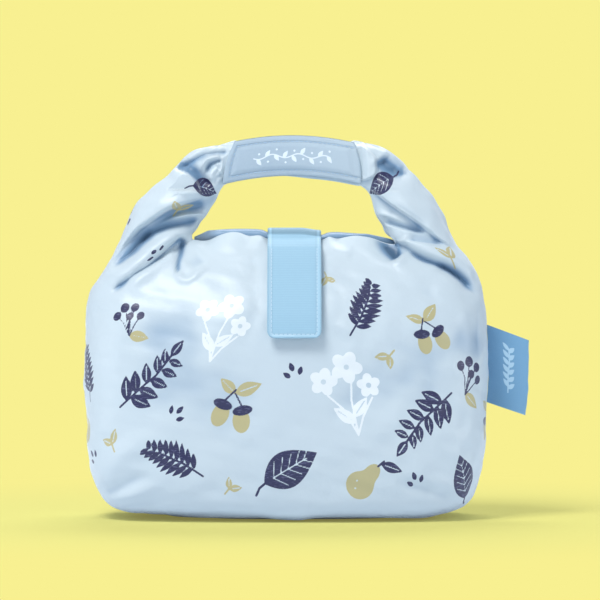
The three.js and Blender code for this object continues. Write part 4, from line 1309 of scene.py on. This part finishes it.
def make_base(cloth):
    """Flat base inside the wall's lowest ring, in rings that shrink to the middle."""
    ring = cloth["points"][cloth["index"]["wall"][0]]
    middle = ring.mean(0)
    shares = np.array([1, 0.99, 0.97, 0.93, 0.88, 0.82, 0.76, 0.7, 0.64, 0.58, 0.5, 0.35, 0.2, 0.004])
    grid = lerp(middle, ring[None], shares[:, None, None])
    grid[..., 2] = lerp(0.3, ring[:, 2], smooth((shares[:, None] - 0.55) / 0.35))
    piece = plain_cloth("base_cloth", grid, True)
    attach(piece, "bag")
    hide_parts("base_panel")


def make_lining(cloth):
    """Turned-in hem of each lip and the cloth's reverse behind it, following the wall's folds."""
    wall = cloth["index"]["wall"]
    first = SHOULDER_STEPS
    count = CENTRE_STEPS + 1
    lips = (
        ("front_lip_hem", first + np.arange(count), 1),
        ("back_lip_hem", COLUMNS - 1 + SHOULDER_STEPS + np.arange(count), -1),
    )
    for name, columns, inward in lips:
        columns = columns % LOOP
        lip = cloth["points"][wall[-1, columns]]
        rows = [lip]
        for depth, rise in ((0.25, 0.3), (0.6, 0.4), (0.95, 0.2), (1.1, -0.6)):
            rows.append(lip + np.array([0, inward * depth, rise]))
        for k in range(3, 44, 2):
            own = wall[-1 - k, columns]
            rows.append(cloth["points"][own] - 1.2 * cloth["normals"][own])
        piece = plain_cloth(name, np.stack(rows))
        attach(piece, "bag")


def make_corner_webs(cloth):
    """Cloth between the two lips at each corner of the mouth, falling inwards as a funnel."""
    wall = cloth["index"]["wall"][-1]
    back_to_front = np.linspace(0, 1, INNER_STEPS + 1)[:, None]
    for key, sign in (("left", -1), ("right", 1)):
        own = cloth["index"][key][0]
        own = own if sign > 0 else own[::-1]
        start = cloth["points"][own[np.r_[2 * SHOULDER_STEPS : len(own), 0]]]
        corner = COLUMNS - 1 - SHOULDER_STEPS if sign > 0 else SHOULDER_STEPS
        rows = [start]
        for k in range(1, WEB_ROWS + 1):
            front = cloth["points"][wall[corner - sign * k]]
            back = cloth["points"][wall[(LOOP - corner + sign * k) % LOOP]]
            share = k / WEB_ROWS
            row = lerp(back, front, 0.06 + 0.88 * back_to_front)
            bulge = np.sin(np.pi * back_to_front[:, 0])
            row[:, 0] += lerp(start[:, 0] - start[0, 0], 0, share)
            row[:, 2] -= 0.4 + (4.4 * smooth(k / 3) + 9 * share) * np.sqrt(bulge)
            rows.append(row)
        # Painted shade: the webs are darkened in full, as the mouth's corners lie in shadow
        piece = plain_cloth("corner_web_" + key, np.stack(rows), hollow=1.0)
        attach(piece, "bag")


def shrink_to_floor(grid):
    """A grid with rings added under its first row that close to the middle."""
    ring = grid[0]
    shares = np.array([0.004, 0.3, 0.6, 0.85, 0.96])[:, None, None]
    return np.concatenate([lerp(ring.mean(0), ring[None], shares), grid])


def make_liner():
    """Thin film bag inside the cloth, kept behind the wall's hollows, with soft creases."""
    sides = []
    for extra in (0, LINER_FILM):
        insets = (LINER_INSET + extra, LINER_DEPTH_INSET + extra)
        grid = wall_grid(LINER_ROWS, *insets, LINER_DROP)[:, ::3]
        x, y, z = grid[..., 0], grid[..., 1], grid[..., 2]
        y = y * (1 - 0.12 * smooth((z - 100) / 40))
        z = z - 9 * smooth((np.abs(x) - 26) / 12) * smooth((z - 90) / 50)
        hollow = np.minimum(fold_height(x.reshape(-1), z.reshape(-1)).reshape(x.shape), 0)
        keep = np.clip(1 + 1.15 * hollow / np.maximum(np.abs(y), 1), 0.25, 1)
        grid[..., 1] = y * keep
        grid[..., 2] = z + LINER_LIFT + extra
        grid[..., 1] -= np.sign(y) * (0.6 + 0.5 * ripples(x, z, 24, 11)) * smooth(z / 10)
        sides.append(shrink_to_floor(grid))
    piece = sheet_piece("liner_film", *sides, FILM, "liner_film", True)
    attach(piece, "bag")
    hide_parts("inner_liner")


def make_binding(right):
    """Bound seam allowance inside a side seam: a flat tape with rounded edges, gently waved."""
    sign = 1 if right else -1
    rows, columns = BINDING_GRID
    z = np.linspace(BINDING_FOOT, BINDING_TOP, rows)[:, None]
    share = np.linspace(0, 1, columns)[None, :]
    x = sign * (half_width(z, right) - 1.9 - BINDING_WIDTH * share)
    bend = 0.25 * np.sin(z * 0.21) * share
    thick = 0.12 + 0.58 * edge_round(np.minimum(share, 1 - share) * BINDING_WIDTH + 0 * z, 1.2)
    outer = np.stack([x, bend - thick, z + 0 * x], -1)
    inner = np.stack([x, bend + thick, z + 0 * x], -1)
    side = "right" if right else "left"
    piece = sheet_piece("seam_binding_" + side, outer, inner, BINDING, "seam_binding")
    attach(piece, "bag")
    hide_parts("seam_tape_" + side)


def edge_round(distance, radius):
    """Quarter circle: 0 at an edge and 1 a radius inside it."""
    return np.sqrt(1 - (1 - np.clip(distance / radius, 0, 1)) ** 2)


def turned_line(line, offset):
    """A (y, z) line moved sideways by an offset, to the right of its run."""
    along = line_direction(line)
    return line + offset * np.stack([along[:, 1], -along[:, 0]], -1)


def in_front(z, offset):
    """Points (y, z) off the middle of the front wall, along its normal."""
    step = 0.5
    y = -half_depth(z)
    slope = (half_depth(z + step) - half_depth(z - step)) / (2 * step)
    unit = np.hypot(1, slope)
    return np.stack([y - offset / unit, z - offset * slope / unit], -1)


def half_turn(centre_y, centre_z, radius, start, end, count=10):
    """Arc in (y, z) from one angle to another."""
    angle = np.linspace(start, end, count)
    return np.stack([centre_y + radius * np.cos(angle), centre_z + radius * np.sin(angle)], -1)


ROLL_FRONT_CENTRE = ROLL_FRONT + ROLL_CLOTH / 2 + ROLL_RADIUS
ROLL_BACK_CENTRE = ROLL_BACK - ROLL_CLOTH / 2 - ROLL_RADIUS
# Squash of the roll's section in height and in depth, and its lowering, by x
ROLL_SQUASH = curve_through(
    (
        (-55, 0.56), (-52, 0.62), (-47, 0.74), (-38, 0.85), (-20, 0.86), (-16, 0.78), (-12.5, 0.57),
        (6, 0.57), (17.5, 0.42), (21, 0.6), (25, 0.66), (32, 0.68), (42, 0.76), (60, 0.9),
    )
)
ROLL_NARROW = curve_through(
    (
        (-55, 0.46), (-49, 0.62), (-42, 0.96), (-38, 1), (34, 1), (42, 0.62), (57, 0.3), (60, 0.22),
    )
)
ROLL_LOWERED = curve_through(
    (
        (-55, 2.4), (-51, 1.2), (-47, 0), (-44, 0), (42, 0.6), (48, 1.6), (54, 3), (57, 3.9),
        (60, 5.6),
    )
)
ROLL_HOLD = 40
ROLL_LEFT_END = -55
ROLL_RIGHT_END = 59.5
TAB_LEVEL = ROLL_MIDDLE - 2.9
TAB_LEAN = 1.3


def roll_length(name, x):
    """One length of the mouth's roll: half turns about two centres, each half a pitch tighter.

    The section is squashed along its length to the crest's height and tapers at its ends.
    """
    half = math.pi / 2
    tight = ROLL_PITCH / 2
    low = ROLL_MIDDLE - tight
    line = np.concatenate(
        [
            np.array([(-7.5, CREST - 0.9), (-7.75, CREST + 0.7)]),
            half_turn(ROLL_FRONT_CENTRE, ROLL_MIDDLE, ROLL_RADIUS, math.pi * 1.12, half),
            half_turn(ROLL_BACK_CENTRE, ROLL_MIDDLE, ROLL_RADIUS, half, -half),
            half_turn(ROLL_FRONT_CENTRE + tight, low, ROLL_RADIUS - tight, -half, -3 * half),
            half_turn(ROLL_BACK_CENTRE - tight, ROLL_MIDDLE, ROLL_RADIUS - 2 * tight, half, -half),
            half_turn(ROLL_FRONT_CENTRE + 2 * tight, low, ROLL_RADIUS - 3 * tight, -half, -3 * half),
        ]
    )
    line, _ = even_line(line, ROLL_STEPS)
    x = x[:, None]
    foot = CREST + 0.2
    grids = []
    for offset in (-ROLL_CLOTH / 2, ROLL_CLOTH / 2):
        y, z = turned_line(line, offset).T
        wave = 0.2 * ripples(x + 0 * y, z + 2 * y[None, :], 19, 21)
        wave = wave * smooth((z[None, :] - CREST - 1.5) / 2)
        yy = 1.5 + (y[None, :] - 1.5) * ROLL_NARROW(x) + smooth((x - 34) / 10) + wave
        lowered = ROLL_LOWERED(x) + lip_drop(x)
        zz = foot + (z[None, :] - foot) * ROLL_SQUASH(x) - lowered + 0.4 * wave
        grids.append(np.stack([x + 0 * yy, yy, zz], -1))
    piece = sheet_piece(name, grids[0], grids[1], CLOTH, "printed_fabric")
    # Painted shade over the whole roll, less towards its left end
    shade = lerp(0.5, 0.92, smooth((grids[0][..., 0] + 52) / 14))
    set_attributes(piece, unprinted(np.stack([shade, shade])))
    return piece


def make_roll():
    """Mouth wound to the back, in a middle length on the roll and two end lengths."""
    piece = roll_length("mouth_roll_cloth", np.linspace(-ROLL_HOLD, ROLL_HOLD, ROLL_COLUMNS))
    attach(piece, "mouth_roll")
    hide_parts("rolled_mouth")
    for side, sign, end in (("left", -1, ROLL_LEFT_END), ("right", 1, ROLL_RIGHT_END)):
        near = sign * ROLL_HOLD
        piece = roll_length("mouth_roll_end_" + side, np.linspace(near, end, ROLL_END_COLUMNS))
        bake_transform(piece)


def make_roll_hinge():
    """Strip of cloth from the back lip into the roll."""
    x = np.linspace(-51, 43, 95)[None, :]
    up = np.linspace(0, 1, 14)[:, None]
    ending = smooth((-41 - x) / 9) + 0.6 * smooth((x - 37) / 7)
    z = CREST - 1.5 + (3.6 - 1.4 * ending) * up - lip_drop(x)
    y = 8.6 - 2 * ending + 0 * z
    sides = [np.stack([x + 0 * z, y + offset, z], -1) for offset in (0.3, -0.3)]
    piece = sheet_piece("mouth_roll_hinge", *sides, CLOTH, "printed_fabric")
    # Painted shade over the whole strip
    set_attributes(piece, unprinted(0.6))
    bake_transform(piece)


def tab_line():
    """Outer line of the tab in (y, z): over the roll from its back, then down the front."""
    radius = ROLL_RADIUS + ROLL_CLOTH / 2 + 0.3 + TAB_THICKNESS
    half = math.pi / 2
    over = [
        half_turn(ROLL_BACK_CENTRE, TAB_LEVEL, radius, -0.2, half),
        half_turn(ROLL_FRONT_CENTRE, TAB_LEVEL, radius, half, math.radians(160)),
    ]
    knee = np.array([[-13.2, 157.6]])
    down = in_front(np.linspace(150.5, TAB_TIP, 60), TAB_OFFSET)
    rough = np.concatenate([*over, knee, down])
    run = line_run(rough)
    return smooth_line(rough, run, np.linspace(0, run[-1], 400))


def tab_surface(rows, columns, inset=0.0):
    """Outer face of the tab: its line by rows and its width by columns, narrowed at the tip."""
    line, length = even_line(tab_line(), rows)
    to_tip = np.linspace(length, 0, rows)[:, None]
    missing = np.maximum(TAB_CORNER - to_tip, 0)
    half = TAB_WIDTH / 2 - TAB_CORNER + np.sqrt(TAB_CORNER**2 - missing**2)
    share = np.linspace(-1, 1, columns)[None, :]
    x = TAB_CENTRE + share * (half - inset)
    along = line_direction(line)
    out = np.stack([0 * along[:, 0], along[:, 1], -along[:, 0]], -1)
    lean = TAB_LEAN * smooth((x - 5) / 12) * smooth((line[:, 1:] - 156) / 6)
    grid = np.stack([x, line[:, :1] + 0 * x, line[:, 1:] - lean], -1)
    edge = np.minimum(half * (1 - np.abs(share)), to_tip)
    sag = 1.3 * (1 - smooth(edge / 2.6)) * smooth((156 - line[:, 1:]) / 4)
    grid += sag[..., None] * out[:, None, :]
    return grid, -out[:, None, :], edge, to_tip


def make_tab():
    """Closure tab with hemmed, stitched edges and cross ribs on its lower part."""
    grid, out, edge, to_tip = tab_surface(*TAB_GRID)
    round_off = edge_round(edge, 0.7)
    hem = 0.28 * smooth((TAB_HEM - edge) / 0.6) * smooth(edge / 0.6)
    seam = -0.3 * np.exp(-(((edge - TAB_STITCH + 0.1) / 0.35) ** 2))
    ribs = 0.03 * np.sin(2 * math.pi * to_tip / RIB_PITCH) * smooth((edge - TAB_HEM) / 0.6)
    height = (hem + seam + ribs - 0.45 * (1 - round_off))[..., None]
    back = (TAB_THICKNESS - 0.45 * (1 - round_off))[..., None]
    piece = sheet_piece("tab_webbing", grid + out * height, grid - out * back, WEBBING, "tab_webbing")
    lean = TAB_LEAN * smooth((grid[..., 0] - 5) / 12)
    # Painted shade where the tab turns over the roll, in the stitch groove and along its rim; negative
    # values are a painted highlight along the hem, stronger on the left edge
    over_roll = smooth((grid[..., 2] + lean - 160.4) / 0.9) * (1 - smooth((grid[..., 1] + 9) / 5))
    groove = np.exp(-(((edge - 2.7) / 0.4) ** 2))
    edge_highlight = np.exp(-(((edge - 1.7) / 0.5) ** 2)) * np.where(grid[..., 0] > TAB_CENTRE, 0.45, 0.8)
    shaded = 0.75 * over_roll + 0.2 * groove + 0.3 * (1 - smooth(edge / 1.1)) - edge_highlight
    shaded = np.clip(shaded, -1, 1)
    set_attributes(piece, {"shaded": np.stack([shaded, shaded])})
    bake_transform(piece)
    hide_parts("tab_anchor", "closure_tab")
    edges, out, _, to_tip = tab_surface(TAB_GRID[0], 3, TAB_STITCH)
    keep = (to_tip[:, 0] > TAB_STITCH - 0.1) & (to_tip[:, 0] < 86)
    edges, out = edges[keep], out[keep]
    bottom = lerp(edges[-1, 0], edges[-1, 2], np.linspace(0, 1, 40)[1:-1, None])
    path = np.concatenate([edges[:, 0], bottom, edges[::-1, 2]])
    normals = np.concatenate([out[:, 0], np.repeat(out[-1], len(bottom), 0), out[::-1, 0]])
    threads_piece = stitches("tab_stitches", path, normals, 2.5, 1.8, 0.22, PALE_THREAD)
    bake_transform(threads_piece)


def stitches(name, path, out, pitch, length, radius, material):
    """A row of thread loops along a path: six-sided tubes that rise and sink along each stitch."""
    run = line_run(path)
    starts = np.arange(pitch / 2, run[-1] - length, pitch)
    share = np.array([0, 0.12, 0.5, 0.88, 1.0])
    at = starts[:, None] + share[None, :] * length
    centre = read_line(path, run, at)
    lift = read_line(out, run, at)
    lift /= np.linalg.norm(lift, axis=-1, keepdims=True)
    along = centre[:, -1:] - centre[:, :1]
    along = along / np.linalg.norm(along, axis=-1, keepdims=True)
    across = np.cross(along, lift)
    rise = radius * np.array([-0.6, 0.3, 0.75, 0.3, -0.6])[None, :, None]
    size = radius * np.array([0.35, 0.9, 1, 0.9, 0.35])[None, :, None, None]
    turn = np.arange(6) * math.pi / 3
    circle = (
        np.cos(turn)[None, None, :, None] * across[:, :, None, :]
        + np.sin(turn)[None, None, :, None] * lift[:, :, None, :]
    )
    points = (centre + lift * rise)[:, :, None, :] + circle * size
    count = len(starts)
    one = quads(5, 6, True)
    caps = np.array([[0, 1, 2, 3], [3, 4, 5, 0], [27, 26, 25, 24], [24, 29, 28, 27]])
    one = np.concatenate([one, caps])
    flat = points.reshape(count, 30, 3)
    one = facing_out(flat[0], one)
    faces = (one[None] + 30 * np.arange(count)[:, None, None]).reshape(-1, 4)
    return make_piece(name, flat.reshape(-1, 3), faces, material)


def make_tab_patches():
    """Loop patch on the front cloth and hook patch behind the tab."""
    rows, columns = TAB_PATCH_GRID
    z = np.linspace(PATCH_TOP, PATCH_FOOT, rows)
    x = np.linspace(PATCH_LEFT, PATCH_RIGHT, columns)[None, :]
    beside = np.minimum(x - PATCH_LEFT, PATCH_RIGHT - x)
    edge = np.minimum(beside, np.minimum(PATCH_TOP - z, z - PATCH_FOOT)[:, None])
    taper = edge_round(edge, 0.5)
    for name, level, body, node_name, material in (
        ("front_loop_pile", 0.3, "bag", "front_loop_patch", LOOPS),
        ("tab_hook_pile", 1.4, "tab", "tab_hook_patch", HOOKS),
    ):
        low, high = in_front(z, level), in_front(z, level + 0.8)
        middle = (low + high)[:, None, :] / 2
        reach = (high - low)[:, None, :] / 2 * (0.2 + 0.8 * taper)[..., None]
        sides = []
        for sign in (1, -1):
            yz = middle + sign * reach
            sides.append(np.concatenate([np.broadcast_to(x[..., None], (rows, columns, 1)), yz], -1))
        piece = sheet_piece(name, sides[0], sides[1], material, "hook_loop_tape")
        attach(piece, body)
        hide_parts(node_name)


def band_grid(left_bottom, left_top, right_bottom, right_top, inset, columns, rows, bow=0.0):
    """x and z over the grip: rows from its lower edge to its upper one, each a parabola.

    The ends bow outwards by bow * 4 b (1 - b), with b the share of the height.
    """
    a = np.linspace(0, 1, columns)[None, :]
    b = np.linspace(0, 1, rows)[:, None]
    low_x = lerp(left_bottom, right_bottom, a)
    high_x = lerp(left_top, right_top, a)
    low_z = grip_edge(low_x, False) + inset
    high_z = grip_edge(high_x, True) - inset
    outwards = bow * (smooth((a - 0.85) / 0.15) - smooth((0.15 - a) / 0.15)) * 4 * b * (1 - b)
    return lerp(low_x, high_x, b) + outwards, lerp(low_z, high_z, b), a, b


def band_edge(a, b, span, height):
    """Distance in mm from the nearest edge of a band, from its shares of span and height."""
    return np.minimum(np.minimum(a, 1 - a) * span, np.minimum(b, 1 - b) * height)


def garland(x, z):
    """Signed distance of a white garland along the grip: a waved stem with leaves and dots."""
    middle = (grip_edge(x, False) + grip_edge(x, True)) / 2
    p, q = x - 0.5, z - middle
    stem = 0.32 - np.abs(q - 1.1 * np.sin(p * 0.42)) * 0.9
    value = np.where(np.abs(p) < 22, stem, 22 - np.abs(p))
    for i in range(9):
        at = -20 + 5 * i
        y = 1.1 * math.sin(at * 0.42)
        sign = 1 if i % 2 else -1
        value = np.maximum(value, leaf(p, q, (at, y), sign * 0.95, 4.6, 2.3, False))
        value = np.maximum(value, oval(p, q, (at + 1.4, y - sign * 2.8), (0.62, 0.62)))
    return value


def make_front_band():
    """Padded front grip band, stitched along all but its right end."""
    corners = (GRIP_LEFT_BOTTOM, GRIP_LEFT_TOP, GRIP_RIGHT_BOTTOM, GRIP_RIGHT_TOP)
    x, z, a, b = band_grid(*corners, 0, *BAND_GRID, 1.4)
    edge = band_edge(a, b, GRIP_SPAN, GRIP_HEIGHT)
    round_off = edge_round(edge, 1.5)
    seamed = np.minimum(a * GRIP_SPAN, np.minimum(b, 1 - b) * GRIP_HEIGHT)
    groove = -0.45 * np.exp(-(((seamed - GRIP_STITCH) / 0.5) ** 2))
    pad = 0.5 * smooth((edge - GRIP_STITCH) / 3) + groove + 0.1 * ripples(x, z, 14, 31)
    bow = 0.9 * np.abs(2 * b - 1) ** 3
    middle = GRIP_FRONT + GRIP_HALF + bow
    outer = np.stack([x, middle - (0.1 + 1.1 * round_off) - pad * round_off, z], -1)
    inner = np.stack([x, GRIP_FRONT + GRIP_HALF + 0.1 + 1.1 * round_off, z], -1)
    piece = sheet_piece("grip_front_band", outer, inner, GRIP, "grip_cloth")
    set_attributes(piece, on_outer_face(garland(x, z)))
    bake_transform(piece)
    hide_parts("grip_anchor", "grip_front_panel")
    pick_a = GRIP_STITCH / GRIP_SPAN
    pick_b = GRIP_STITCH / GRIP_HEIGHT
    lift = np.stack([x, middle - 1.25 + 0 * x, z], -1)
    rows, columns = x.shape
    i0, i1 = int(pick_b * rows), int((1 - pick_b) * rows)
    j0, j1 = int(pick_a * columns), columns - 4
    path = np.concatenate([lift[i0, j1:j0:-1], lift[i0:i1, j0], lift[i1, j0:j1]])
    out = np.tile([0.0, -1.0, 0.0], (len(path), 1))
    threads_piece = stitches("grip_stitches", path, out, 2.6, 1.9, 0.17, THREAD)
    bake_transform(threads_piece)


def make_back_band():
    """Thick padded back band: a rounded section along the grip, closed at both ends."""
    count, around = BACK_BAND_GRID
    a = np.linspace(0, 1, count)
    x = lerp(BACK_BAND_LEFT, BACK_BAND_RIGHT, a)
    low = grip_edge(x, False) + 0.3 - 1.7 * smooth((x + 12) / 26)
    high = grip_edge(x, True) - 0.6
    turn = np.linspace(0, 2 * np.pi, around, endpoint=False)[None, :]
    end = np.minimum(a, 1 - a) * (BACK_BAND_RIGHT - BACK_BAND_LEFT)
    size = np.maximum(edge_round(end, 3), 0.02)[:, None]
    up = np.sign(np.sin(turn)) * np.abs(np.sin(turn)) ** 0.8
    deep = np.sign(np.cos(turn)) * np.abs(np.cos(turn)) ** 0.8
    middle_z = ((low + high) / 2)[:, None]
    half_z = ((high - low) / 2)[:, None]
    middle_y = (GRIP_BACK_FRONT + GRIP_BACK) / 2
    half_y = (GRIP_BACK - GRIP_BACK_FRONT) / 2
    puff = 1 + 0.02 * ripples(x[:, None] + 0 * turn, 12 * turn + 0 * x[:, None], 15, 41)
    z = middle_z + half_z * size * up
    y = middle_y + half_y * size * deep * puff
    slant = 4 * (0.5 - (z - low[:, None]) / GRIP_HEIGHT) * smooth((a - 0.9) / 0.1)[:, None]
    grid = np.stack([x[:, None] + slant, y, z], -1)
    points = grid.reshape(-1, 3)
    ends = [np.arange(around)[::-1], np.arange(around) + (count - 1) * around]
    last = around - 1
    caps = [line[[k, k + 1, last - 1 - k, last - k]] for line in ends for k in range(last // 2)]
    faces = facing_out(points, np.concatenate([quads(count, around, True), np.array(caps)]))
    piece = make_piece("grip_back_band", points, faces, GRIP)
    set_attributes(piece, {"motif": NO_PRINT})
    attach(piece, "right_arm")
    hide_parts("grip_back_panel")


def make_grip_patches():
    """Hook patch behind the front band and loop patch on the back band."""
    left, right = GRIP_PATCH_LEFT, GRIP_PATCH_RIGHT
    x, z, a, b = band_grid(left, left, right, right, 2.6, *GRIP_PATCH_GRID)
    half = 0.1 + 0.4 * edge_round(band_edge(a, b, 45, 18), 0.5)
    for name, level, body, node_name, material in (
        ("grip_hook_pile", -4.8, "grip_flap", "grip_hook_patch", HOOKS),
        ("grip_loop_pile", -3.5, "right_arm", "grip_loop_patch", LOOPS),
    ):
        outer = np.stack([x, level - half, z], -1)
        inner = np.stack([x, level + half, z], -1)
        piece = sheet_piece(name, outer, inner, material, "hook_loop_tape")
        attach(piece, body)
        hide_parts(node_name)


def sprig(a, b):
    """Signed distance of an upright pale sprig on the label."""
    value = np.where(np.abs(b) < 13, 0.4 - np.abs(a - 0.5 * np.sin(b * 0.25)), 13 - np.abs(b))
    for i in range(6):
        at = -10.5 + 4.2 * i
        value = np.maximum(value, leaf(a, b, (0, at), 0.85, 5.2, 2.4, False))
        value = np.maximum(value, leaf(a, b, (0, at + 1.2), math.pi - 0.85, 5.2, 2.4, False))
    return value


def make_label(cloth):
    """Folded woven label: one ribbon out from the seam, round its fold and back, drooping.
    """
    seam = cloth["points"][cloth["index"]["wall"][:, COLUMNS - 1]]
    rows, columns = LABEL_GRID
    reach = LABEL_LENGTH
    out = np.linspace(0, reach, columns)
    fold = np.linspace(-np.pi / 2, np.pi / 2, 9)[1:-1]
    gap = LABEL_GAP
    path = np.concatenate(
        [
            np.stack([out, -gap - 0.25 * np.sin(np.pi * out / reach)], -1),
            np.stack([reach + gap * np.cos(fold), gap * np.sin(fold)], -1),
            np.stack([out[::-1], gap + 0.25 * np.sin(np.pi * out[::-1] / reach)], -1),
        ]
    )
    b = np.linspace(0, 1, rows)[:, None]
    root = np.interp(LABEL_TOP - LABEL_HEIGHT * (1 - b), seam[:, 2], seam[:, 0]) + 0.15
    sides = []
    for offset in (LABEL_PLY, -LABEL_PLY):
        line = turned_line(path, offset)
        run = line[None, :, 0] * lerp(0.92, 1.0, b)
        bend = 1.1 * np.sin(run / reach * 2.1) * (0.4 + 0.6 * b) - 0.8 * smooth(run / reach) * (1 - b)
        x = root + run
        z = LABEL_TOP - LABEL_HEIGHT * (1 - b) - LABEL_DROOP * lerp(0.9, 1, b) * run / reach
        sides.append(np.stack([x, line[None, :, 1] + bend, z], -1))
    piece = sheet_piece("side_label_satin", sides[0], sides[1], LABEL, "label_cloth")
    a = path[None, :, 0] - reach * 0.52 + 0 * b
    motif = sprig(a, (b - 0.5) * LABEL_HEIGHT + 0 * a)
    set_attributes(piece, on_outer_face(np.where(path[None, :, 1] < 0, motif, NO_PRINT)))
    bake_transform(piece)
    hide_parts("side_label")


def finish_studs():
    """Gives the press studs, which keep their solids, their plastic."""
    for side in ("left", "right"):
        for half in ("socket", "stud"):
            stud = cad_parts[f"snap_{half}_{side}"]
            stud.data.materials.clear()
            stud.data.materials.append(PLASTIC)


def camera():
    """Slightly above the bag, far off and framing as the photograph does."""
    data = bpy.data.cameras.new("camera")
    made = bpy.data.objects.new("camera", data)
    bpy.context.scene.collection.objects.link(made)
    elevation = math.radians(CAMERA_ELEVATION)
    back = Vector((0, -math.cos(elevation), math.sin(elevation)))
    made.location = Vector(CAMERA_TARGET) + CAMERA_DISTANCE * back
    made.rotation_euler = (math.pi / 2 - elevation, 0, 0)
    data.sensor_width = 36
    data.lens = data.sensor_width * CAMERA_DISTANCE / VIEW_WIDTH
    data.clip_start = 0.1
    data.clip_end = 20
    bpy.context.scene.camera = made


def area_light(name, place, size, power, target=(0, 0, 0.1)):
    """A soft rectangle of light aimed at the bag."""
    data = bpy.data.lights.new(name, "AREA")
    data.shape = "RECTANGLE"
    data.size, data.size_y = size
    data.energy = power
    made = bpy.data.objects.new(name, data)
    bpy.context.scene.collection.objects.link(made)
    made.location = place
    made.rotation_euler = (Vector(target) - Vector(place)).to_track_quat("-Z", "Y").to_euler()


BACKDROP = (0.939, 0.871, 0.283, 1)
FLOOR_SEEN = (0.72, 0.672, 0.213, 1)
FLOOR_LIT = (0.81, 0.86, 0.91, 1)
AROUND = (0.275, 0.335, 0.42, 1)
# Name, place and size in metres, and power in watts
LIGHTS = (
    ("key", (-0.5, -0.72, 1.43), (0.6, 0.6), 17.6),
    ("fill", (0.6, -1.6, 0.2), (0.9, 0.9), 1.6),
    ("right side", (1.4, -0.45, 0.25), (0.7, 0.7), 4.6),
    ("left side", (-1.4, -0.45, 0.25), (0.7, 0.7), 3),
    ("rim", (0.1, 0.8, 1.2), (0.9, 0.5), 9),
)


def studio():
    """Pale floor and pale surroundings, which the camera sees in the backdrop's yellow.

    The floor keeps the shadow near the bag and turns into the backdrop's colour further off.
    """
    made, tree, shader = finish("floor_paint", (0.8, 0.8, 0.8), 0.95, 0, 0)
    path = node(tree, "ShaderNodeLightPath").outputs["Is Camera Ray"]
    tree.links.new(mix_colour(tree, path, FLOOR_LIT, FLOOR_SEEN), shader.inputs["Base Color"])
    glow = node(tree, "ShaderNodeEmission", None, Color=BACKDROP, Strength=1.0)
    away = node(tree, "ShaderNodeVectorMath", {"operation": "LENGTH"}, _0=object_point(tree))
    far = ranged(tree, away.outputs["Value"], 0.12, 0.36, interpolation_type="SMOOTHSTEP")
    held = math_node(tree, "ADD", product(tree, far, 0.8), 0.2)
    share = product(tree, path, held)
    mixed = node(tree, "ShaderNodeMixShader", None, _0=share, _1=shader.outputs[0], _2=glow.outputs[0])
    tree.links.new(mixed.outputs[0], tree.nodes["Material Output"].inputs[0])
    corners = np.array([(-4000, -4000, 0), (4000, -4000, 0), (4000, 4000, 0), (-4000, 4000, 0)])
    make_piece("floor", corners, [(0, 1, 2, 3)], made)
    world = bpy.data.worlds.new("world")
    bpy.context.scene.world = world
    world.use_nodes = True
    tree = world.node_tree
    path = node(tree, "ShaderNodeLightPath").outputs["Is Camera Ray"]
    back = tree.nodes["Background"]
    tree.links.new(mix_colour(tree, path, AROUND, BACKDROP), back.inputs[0])
    back.inputs[1].default_value = 1
    for light in LIGHTS:
        area_light(*light)
    bpy.context.scene.view_settings.view_transform = "Standard"


def build():
    """Makes every piece from the folded cloth inwards and outwards."""
    cloth = folded_cloth()
    make_walls(cloth)
    make_arms(cloth)
    make_base(cloth)
    make_lining(cloth)
    make_corner_webs(cloth)
    make_liner()
    make_binding(False)
    make_binding(True)
    finish_studs()
    make_roll()
    make_roll_hinge()
    make_tab_patches()
    make_tab()
    make_grip_patches()
    make_back_band()
    make_front_band()
    make_label(cloth)


build()
camera()
studio()
